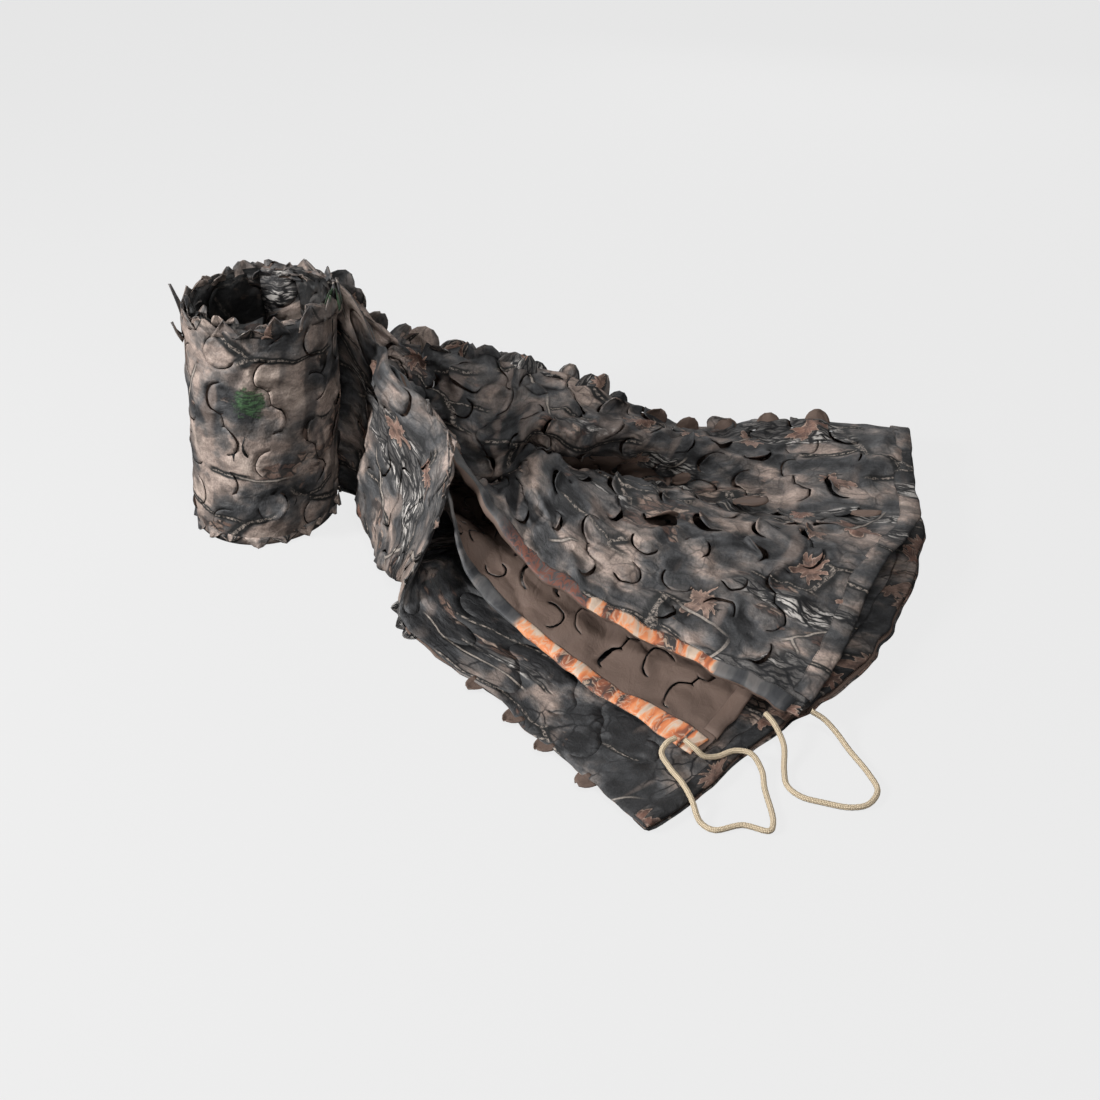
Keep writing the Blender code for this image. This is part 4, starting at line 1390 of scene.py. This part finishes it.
@dataclass
class Finishes:
    """The finishes of the net, each made once."""

    printed: bpy.types.Material
    outside: bpy.types.Material
    roll: bpy.types.Material
    bore: bpy.types.Material
    bark: bpy.types.Material
    hem: bpy.types.Material
    inner_hem: bpy.types.Material
    reverse: bpy.types.Material
    casing_top: bpy.types.Material
    casing_under: bpy.types.Material
    cord: bpy.types.Material

    @classmethod
    def make(cls) -> Finishes:
        """Make them all."""
        return cls(
            printed=WoodlandPrint("woodland_print", shift=(0.37, 0.52, 0)).material(),
            outside=WoodlandPrint("woodland_print_outside", bark=0.5, leafy=0.25, warm=0.6,
                                  shift=(0.8, 0.3, 0)).material(),
            roll=WoodlandPrint("woodland_print_roll", bark=0.12, leafy=0.16, greens=0.9, crackle=0.15, warm=0.80, bright=0.95,
                               shift=(0.11, 0.45, 0), smear=(7.0, 30.0)).material(),
            # the roll's inner turns: the print darkened to 0.15 of its colour, as painted shade inside the bore
            bore=WoodlandPrint("woodland_print_bore_painted_shade", bark=0.05, leafy=0.10, crackle=0.5, warm=0.2,
                               shift=(0.5, 0.1, 0), bright=0.15).material(),
            bark=WoodlandPrint("woodland_print_bark", bark=0.0, leafy=0.06, crackle=1.0, warm=0.05,
                               shift=(0.37, 0.2, 0)).material(),
            hem=WoodlandPrint("woodland_print_hem", bark=0.4, leafy=0.25, warm=0.4, shift=(0.6, 0.9, 0), bright=1.0,
                              stitched=True).material(),
            inner_hem=WoodlandPrint("woodland_print_inner_hem", bark=0.1, leafy=0.85, warm=0.3, shift=(0.3, 0.6, 0),
                                    bright=0.70, stitched=True).material(),
            reverse=PlainReverse("plain_reverse").material(),
            casing_top=CasingPrint("casing_print_top", 0.645, 0.795, 0.23, rust=1.0).material(),
            casing_under=CasingPrint("casing_print_under", 0.625, 0.90, 0.0).material(),
            cord=BraidedCord("braided_cord_finish").material(),
        )


@dataclass
class Tail:
    """The tail: its four layers of slit cloth, casings, end hems and the leaves past its folds."""

    finishes: Finishes
    form: TailForm = field(default_factory=TailForm)
    crumple: Crumple = field(default_factory=Crumple)
    surfaces: dict[Layer, ClothSurface] = field(default_factory=dict)
    hem: float = 0.021

    def build(self) -> None:
        """Build the tail's pieces."""
        self.surfaces = {layer: self.form.surface(layer) for layer in Layer}
        start = 0.0
        close = LeafCut(pitch=0.053, radius=0.0185, gap=0.0010, lifted=0.38, turned=0.05, curl=0.28)
        small = LeafCut(pitch=0.046, radius=0.0175, opening=(80.0, 130.0), gap=0.0012, lifted=0.20, curl=0.12)
        shut = LeafCut(lifted=0.05, turned=0.0, curl=0.10)
        settings = {
            Layer.TOP: (12, 11, (0.0150, 0.0062), (0.020, 0.0, 0.0, self.hem), self.finishes.printed, close),
            Layer.FLOOR: (8, 12, (0.0065, 0.0020), (0.0, 0.0, 0.0, self.hem), self.finishes.outside, shut),
            Layer.LOWER: (8, 13, (0.0012, 0.0012), (0.0, 0.0, 0.0, self.hem), self.finishes.bark, shut),
            Layer.UNDER: (12, 14, (0.0035, 0.0035), (0.0, 0.020, 0.0, self.hem), self.finishes.printed, small),
        }
        for layer, (detail, seed, pucker, bare, finish, cut) in settings.items():
            surface = self.surfaces[layer]
            hidden = {Layer.FLOOR: 0.72, Layer.LOWER: 1.0}.get(layer, 0.0)
            item = SlitCloth(f"tail_{layer.value}", surface, (start, 0.0), detail, seed, self.crumple, pucker,
                             bare, cut, hidden * surface.width).build(finish, self.finishes.reverse)
            self.declare(item, surface.width, surface.length)
            start += surface.width
        self.casings()
        self.end_hems()
        self.fold_leaves()

    @staticmethod
    def declare(item: bpy.types.Object, width: float, length: float) -> None:
        """Log a piece's flat size."""
        LOG.info("%s: %.3f m by %.3f m", item.name, width, length)

    def casings(self) -> None:
        """Build the drawcord casings along the two free edges."""
        top, under = self.surfaces[Layer.TOP], self.surfaces[Layer.UNDER]
        over = ((0.0190, 0.0008), (0.0180, 0.0016), (0.0130, 0.0024), (0.0060, 0.0026), (0.0010, 0.0020),
                (-0.0006, 0.0004), (0.0000, -0.0030), (0.0022, -0.0062), (0.0058, -0.0074), (0.0100, -0.0060))
        item = ClothStrip("casing_top", top, over, 0.02, 0.868, 5, self.crumple).build(
            self.finishes.casing_top, self.finishes.reverse)
        self.declare(item, 0.034, 0.85)
        edge = under.width
        back = ((edge - 0.0190, -0.0010), (edge - 0.0180, -0.0016), (edge - 0.0130, -0.0024), (edge - 0.0060, -0.0026),
                (edge - 0.0010, -0.0020), (edge + 0.0006, -0.0006), (edge + 0.0004, 0.0010), (edge - 0.0030, 0.0014))
        item = ClothStrip("casing_under", under, back, 0.02, 0.872, 9, self.crumple, turned=True).build(
            self.finishes.casing_under, self.finishes.reverse)
        self.declare(item, 0.025, 0.85)

    def end_hems(self) -> None:
        """Build the hems across the tail's end."""
        for layer, sign in ((Layer.TOP, 1), (Layer.LOWER, 1), (Layer.FLOOR, 1), (Layer.UNDER, -1)):
            surface = self.surfaces[layer]
            end = surface.length
            section = [(end - self.hem, 0.0009 * sign), (end - self.hem + 0.002, 0.0016 * sign),
                       (end - 0.010, 0.0020 * sign), (end - 0.001, 0.0016 * sign), (end + 0.0008, 0.0),
                       (end - 0.001, -0.0012 * sign)]
            low = 0.024 if layer is Layer.TOP else 0.002
            high = surface.width - (0.024 if layer is Layer.UNDER else 0.002)
            front = {Layer.TOP: self.finishes.hem, Layer.UNDER: self.finishes.reverse}.get(
                layer, self.finishes.inner_hem)
            item = ClothStrip(f"end_hem_{layer.value}", surface, section, low, high, 9, self.crumple,
                              turned=sign < 0, along_end=True).build(front, self.finishes.reverse)
            self.declare(item, self.hem + 0.003, high - low)

    def fold_leaf(self, fold: str, run: float, depth: float, lean: float, **shape: object) -> LooseLeaf:
        """Place a leaf past one of the outer folds.

        Args:
            fold: "back" or "front".
            run: its distance from the roll.
            depth: how many layers it sits inside the fold.
            lean: how far it leans into the pile, as a share of its reach.
            shape: the leaf's size, curl and point.

        Returns:
            The leaf.
        """
        here = self.form.blend(run, fold)
        along = unit(self.form.blend(run + NEAR, fold) - self.form.blend(run - NEAR, fold))
        arm = here - np.append(self.form.blend(run, {"back": "spine", "front": "foot"}[fold]), 0)
        inward = self.form.inner_normal(run, fold, {"back": "spine", "front": "foot"}[fold])
        outward = unit(arm - along * (arm @ along))
        middle = here + self.form.gap(run) * depth * inward - MIDDLE - 0.006 * outward
        for dent in TAIL_DENTS:
            middle = middle + dent.shift(middle[None])[0]
        middle = middle + self.crumple.shifts(middle[None])[0]
        return LooseLeaf(Vector(middle), Vector(outward + lean * inward), Vector(along), **shape)

    def turned_leaf(self, run: float, share: float, half: float, reach: float, turn: float,
                    height: float) -> LooseLeaf:
        """Place a leaf that lies folded back on TOP and shows its plain side.

        Args:
            run: its distance from the roll.
            share: its place across TOP, 0 to 1.
            half: its half width.
            reach: its length.
            turn: the way it points, from across the cloth toward its end, in radians.
            height: how high it lies.

        Returns:
            The leaf.
        """
        top = self.surfaces[Layer.TOP]
        step = 0.012
        places = [(share * top.width, run), (share * top.width + step * math.cos(turn), run + step * math.sin(turn)),
                  (share * top.width - step * math.sin(turn), run + step * math.cos(turn))]
        laid = top.lay(np.array([place[0] for place in places]), np.array([place[1] for place in places]),
                       np.full(3, height))
        laid = laid + self.crumple.shifts(laid)
        root, ahead, side = (Vector(point) for point in laid)
        return LooseLeaf(root, ahead - root + Vector((0, 0, 0.002)), root - side, (half, reach), -0.25, oval=True)

    def fold_leaves(self) -> None:
        """Build the leaves that stand out past the folds."""
        random = np.random.default_rng(41)
        shown = [self.fold_leaf("back", run + random.uniform(-0.008, 0.008), random.uniform(0.2, 2.4),
                                random.uniform(-0.6, 0.9), size=(random.uniform(0.014, 0.025),
                                                                 random.uniform(0.019, 0.032)),
                                curl=random.uniform(-0.5, 0.5), pointed=random.choice([0.0, 0.0, 0.2]))
                 for run in np.arange(0.09, 0.50, 0.021)]
        shown += [self.fold_leaf("front", run + random.uniform(-0.008, 0.008), 0.6, random.uniform(-0.3, 0.1),
                                 size=(random.uniform(0.010, 0.018), random.uniform(0.011, 0.018)),
                                 curl=random.uniform(-0.6, 0.6), pointed=random.choice([0.3, 0.7, 1.0]))
                  for run in np.arange(0.30, 0.56, 0.022)]
        hidden = [self.fold_leaf("back", run, 2.6, 0.70, size=(0.0185, 0.0205), curl=0.2)
                  for run in (0.545, 0.600, 0.655, 0.710, 0.768)]
        hidden += [self.fold_leaf("front", run, 0.8, 0.0, size=(0.0125, 0.0190), curl=-0.15)
                   for run in (0.600, 0.652, 0.706, 0.772)]
        hidden += [self.turned_leaf(*values) for values in (
            (0.700, 0.560, 0.0165, 0.046, 0.35, 0.0085), (0.812, 0.600, 0.0100, 0.036, 1.5, 0.0085),
            (0.607, 0.700, 0.0080, 0.026, 1.3, 0.0070))]
        for name, leaves, finish in (("fold_leaves", shown, self.finishes.outside),
                                     ("fold_leaves_turned", hidden, self.finishes.reverse)):
            item = leaf_piece(name, leaves, finish, finish)
            self.declare(item, 0.034, 0.016 * len(leaves))


@dataclass
class Roll:
    """The roll: its turns of doubled cloth and the leaves that stand out of its rim."""

    finishes: Finishes
    form: RollForm = field(default_factory=RollForm)

    def build(self) -> None:
        """Build the roll's pieces."""
        whole = 2 * math.pi
        cut = LeafCut(lifted=0.12, turned=0.0, curl=0.11, gap=0.0007)
        along = -1.0
        for name, first, last, detail, seed, finish in (
            ("roll_outer_turn", -self.form.lead, whole, 12, 31, self.finishes.roll),
            # the inner turns wear the darkened print, painted shade inside the bore
            ("roll_inner_turns", whole, whole * self.form.turns, 8, 32, self.finishes.bore),
        ):
            surface = self.form.surface(first, last)
            item = SlitCloth(name, surface, (0.4, along), detail, seed, None, (0.0036, 0.0036),
                             cut=cut).build(finish, self.finishes.reverse)
            Tail.declare(item, surface.width, surface.length)
            along += surface.length
        self.rim_leaves()

    def rim_leaf(self, angle: float, level: float, depth: float, up: float, lean: float, **shape: object) -> LooseLeaf:
        """Place a leaf on the roll's wall.

        Args:
            angle: where it is around the roll.
            level: its height above the floor.
            depth: how far it is inside the outer face.
            up: 1 to point up, -1 to point down.
            lean: how far it leans outward, as a share of its reach.
            shape: the leaf's size, curl and point.

        Returns:
            The leaf.
        """
        radial = Vector((math.cos(angle), math.sin(angle), 0))
        foot = Vector((self.form.foot_x + self.form.lean * level / self.form.height, 0, level))
        root = foot + radial * (self.form.radius - depth) - Vector(MIDDLE)
        return LooseLeaf(root, Vector((0, 0, up)) + lean * radial, Vector((-math.sin(angle), math.cos(angle), 0)),
                         **shape)

    def rim_leaves(self) -> None:
        """Build the leaves that stand up from the upper rim and out from the lower one."""
        random = np.random.default_rng(43)
        rim, whole = self.form.height - 0.012, 2 * math.pi
        leaves = [self.rim_leaf(whole * (k + random.uniform(-0.45, 0.45)) / 17, rim, random.uniform(0.000, 0.003), 1,
                                random.uniform(-0.25, 0.30),
                                size=(random.uniform(0.014, 0.026), random.uniform(0.013, 0.024)),
                                curl=random.uniform(-0.3, 0.6), pointed=random.choice([0.3, 0.8, 1.0]))
                  for k in range(17)]
        leaves += [self.rim_leaf(whole * (k + random.uniform(-0.5, 0.5)) / 22, rim, random.uniform(0.005, 0.018), 1,
                                 random.uniform(-0.9, 0.2),
                                 size=(random.uniform(0.012, 0.022), random.uniform(0.012, 0.024)),
                                 curl=random.uniform(-1.0, 1.0), pointed=random.choice([0.0, 0.3, 0.8]))
                   for k in range(22)]
        leaves += [self.rim_leaf(whole * (k + random.uniform(-0.4, 0.4)) / 20, random.uniform(0.009, 0.020), 0.002, -1,
                                 random.uniform(0.10, 0.55),
                                 size=(random.uniform(0.010, 0.019), random.uniform(0.010, 0.018)),
                                 curl=random.uniform(-0.4, 0.4), pointed=random.choice([0.4, 0.7, 1.0]))
                   for k in range(20)]
        leaves.append(self.rim_leaf(3.25, rim - 0.004, 0.001, 1, 0.16, size=(0.011, 0.036), curl=0.2, pointed=0.6))
        leaves.append(self.rim_leaf(3.42, rim - 0.030, 0.000, 1, 0.75, size=(0.013, 0.022), curl=-0.5, pointed=0.8))
        item = leaf_piece("rim_leaves", leaves, self.finishes.roll, self.finishes.roll)
        Tail.declare(item, 0.034, 0.012 * len(leaves))


@dataclass
class Drawcord:
    """A drawcord loop: a braided tube along its route.

    Args:
        name: the piece's name.
        node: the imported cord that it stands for.
        route: the points that it follows.
        finish: its braid.
    """

    name: str
    node: str
    route: Sequence[tuple[float, float, float]]
    finish: bpy.types.Material
    sides: int = 16
    step: float = 0.0012

    def line(self) -> np.ndarray:
        """Give the cord's middle line in small even steps."""
        route = np.array(self.route)
        route[:, 2] = np.maximum(route[:, 2], CORD_DIAMETER / 2 + FLOOR_CLEARANCE)
        fine = spline(route)
        length = np.linalg.norm(np.diff(fine, axis=0), axis=1).sum()
        return evenly(fine, int(length / self.step) + 1) - MIDDLE

    def build(self) -> None:
        """Build the cord, with its strands in the tube's own shape."""
        line = self.line()
        bm = bmesh.new()
        frames = self.frames(line)
        made = bmesh.ops.create_circle(bm, segments=self.sides, radius=CORD_DIAMETER / 2, matrix=frames[0])
        ring = list(made["verts"])
        loops = [ring]
        edges = [edge for edge in bm.edges]
        for before, after in zip(frames, frames[1:]):
            grown = bmesh.ops.extrude_edge_only(bm, edges=edges)
            verts = [item for item in grown["geom"] if isinstance(item, bmesh.types.BMVert)]
            edges = [edge for edge in {edge for vert in verts for edge in vert.link_edges}
                     if all(vert in verts for vert in edge.verts)]
            bmesh.ops.transform(bm, matrix=after @ before.inverted(), verts=verts)
            loops.append(verts)
        self.add_braid_map(bm, frames)
        bmesh.ops.holes_fill(bm, edges=[edge for edge in bm.edges if edge.is_boundary], sides=0)
        bmesh.ops.recalc_face_normals(bm, faces=bm.faces)
        for face in bm.faces:
            face.smooth = True
        mesh = bpy.data.meshes.new(self.name)
        bm.to_mesh(mesh)
        bm.free()
        mesh.materials.append(self.finish)
        item = bpy.data.objects.new(self.name, mesh)
        bpy.context.scene.collection.objects.link(item)
        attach(item, BODY)
        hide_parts(self.node)

    def frames(self, line: np.ndarray) -> list[Matrix]:
        """Give a frame at each point of the line, carried along without a twist."""
        found = []
        side = Vector((0, 0, 1)).cross(Vector(line[1] - line[0])).normalized()
        for k, place in enumerate(line):
            ahead = Vector(line[min(k + 1, len(line) - 1)] - line[max(k - 1, 0)]).normalized()
            side = (side - ahead * side.dot(ahead)).normalized()
            other = ahead.cross(side)
            frame = Matrix((side, other, ahead)).transposed().to_4x4()
            frame.translation = Vector(place)
            found.append(frame)
        return found

    def add_braid_map(self, bm: bmesh.types.BMesh, frames: list[Matrix]) -> None:
        """Map the tube around and along, and raise the strands by that map."""
        braid = bm.loops.layers.uv.new("braid")
        bm.verts.ensure_lookup_table()
        bm.verts.index_update()
        places = {}
        for k, frame in enumerate(frames):
            back = frame.inverted()
            for vert in bm.verts[k * self.sides:(k + 1) * self.sides]:
                local = back @ vert.co
                places[vert] = (math.atan2(local.y, local.x) / (2 * math.pi) + 0.5, k * self.step, local, frame)
        for face in bm.faces:
            turns = [places[loop.vert][0] for loop in face.loops]
            for loop, turn in zip(face.loops, turns):
                loop[braid].uv = (turn + (1 if max(turns) - turn > 0.5 else 0), places[loop.vert][1])
        for vert, (turn, travel, local, frame) in places.items():
            climb = 330 * travel
            strand = math.sin(2 * math.pi * (4 * turn + climb)) * math.sin(2 * math.pi * (4 * turn - climb))
            vert.co = frame @ (local * (1 + 0.05 * strand))


@dataclass
class Studio:
    """The floor, the lights and the camera, as the photograph has them."""

    camera_place: tuple[float, float, float] = (0.0, -1.308, 0.88)
    pitch: float = 36.1
    view_angle: float = 50.0

    def build(self) -> None:
        """Set up the camera, the lights and the floor."""
        lens = bpy.data.cameras.new("camera")
        lens.sensor_fit = "HORIZONTAL"
        lens.angle = math.radians(self.view_angle)
        lens.clip_start = 0.01
        camera = bpy.data.objects.new("camera", lens)
        camera.location = Vector(self.camera_place) - Vector(MIDDLE)
        camera.rotation_euler = (math.radians(90 - self.pitch), 0, 0)
        bpy.context.scene.collection.objects.link(camera)
        bpy.context.scene.camera = camera
        self.light("key", (-2.05, -0.60, 1.15), 0.45, 80)
        self.light("fill", (0.3, -2.0, 0.9), 1.4, 13)
        self.light("top", (0.3, -0.7, 2.0), 0.6, 20)
        self.light("back", (0.7, 2.3, 1.1), 1.4, 15)
        world = bpy.data.worlds.new("studio")
        world.use_nodes = True
        world.node_tree.nodes["Background"].inputs["Color"].default_value = (0.78, 0.78, 0.78, 1)
        world.node_tree.nodes["Background"].inputs["Strength"].default_value = 0.05
        bpy.context.scene.world = world
        bpy.context.scene.view_settings.view_transform = "Standard"
        self.floor()

    def light(self, name: str, place: tuple[float, float, float], size: float, power: float) -> None:
        """Hang one soft light that faces the net."""
        lamp = bpy.data.lights.new(name, "AREA")
        lamp.size = size
        lamp.energy = power
        item = bpy.data.objects.new(name, lamp)
        item.location = place
        item.rotation_euler = (Vector((0.0, 0.0, 0.05)) - Vector(place)).to_track_quat("-Z", "Y").to_euler()
        bpy.context.scene.collection.objects.link(item)

    @staticmethod
    def stage(item: bpy.types.Object) -> None:
        """Keep the floor's own light off the net."""
        item.visible_diffuse = False
        item.visible_glossy = False

    def floor(self) -> None:
        """Lay the pale floor and stand the pale backdrop around it."""
        bm = bmesh.new()
        bmesh.ops.create_grid(bm, x_segments=1, y_segments=1, size=12)
        bmesh.ops.create_cone(bm, segments=64, radius1=11, radius2=11, depth=16)
        mesh = bpy.data.meshes.new("floor")
        bm.to_mesh(mesh)
        bm.free()
        mesh.materials.append(PaleFloor().material())
        item = bpy.data.objects.new("floor", mesh)
        bpy.context.scene.collection.objects.link(item)
        self.stage(item)
        self.painted_floor_shade()

    @staticmethod
    def painted_floor_shade() -> None:
        """Lay a dark sheet on the floor wherever the net covers it, as painted shade under the net, so that no light
        comes up through the slits.
        """
        form, roll = TailForm(), RollForm()
        rows = []
        for run in np.linspace(0.0, TAIL_RUN - 0.012, 40):
            near, far = form.blend(run, "foot"), form.blend(run, "spine")
            if run > LYING_RUN:
                near = form.blend(run, "front")[:2]
                far = far + 0.75 * (form.blend(run, "back")[:2] - far)
            rows.append([near + 0.10 * (far - near), near + 0.96 * (far - near)])
        bm = bmesh.new()
        bmesh.ops.create_grid(bm, x_segments=1, y_segments=len(rows) - 1, size=0.5)
        order = sorted(bm.verts, key=lambda vert: (round(vert.co.y, 5), vert.co.x))
        for vert, place in zip(order, np.array(rows).reshape(-1, 2)):
            vert.co = Vector((*place, 0.0003)) - Vector(MIDDLE)
        middle = Vector((roll.foot_x, 0, 0.0003)) - Vector(MIDDLE)
        bmesh.ops.create_circle(bm, cap_ends=True, segments=48, radius=0.088, matrix=Matrix.Translation(middle))
        mesh = bpy.data.meshes.new("painted_floor_shade")
        bm.to_mesh(mesh)
        bm.free()
        graph = Graph("painted_floor_shade")
        # the sheet's dark colour is painted shade under the net and in the bore
        graph.shader.inputs["Base Color"].default_value = (0.05, 0.05, 0.05, 1)
        mesh.materials.append(graph.material)
        item = bpy.data.objects.new("painted_floor_shade", mesh)
        bpy.context.scene.collection.objects.link(item)


def main() -> None:
    """Build the studio and the net's pieces in order."""
    logging.basicConfig(level=logging.INFO, format="%(name)s: %(message)s")
    Studio().build()
    finishes = Finishes.make()
    Drawcord("drawcord_lower_braid", "drawcord_lower", LOWER_CORD, finishes.cord).build()
    Drawcord("drawcord_upper_braid", "drawcord_upper", UPPER_CORD, finishes.cord).build()
    Tail(finishes).build()
    Roll(finishes).build()


if __name__ == "__main__":
    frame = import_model()
    main()
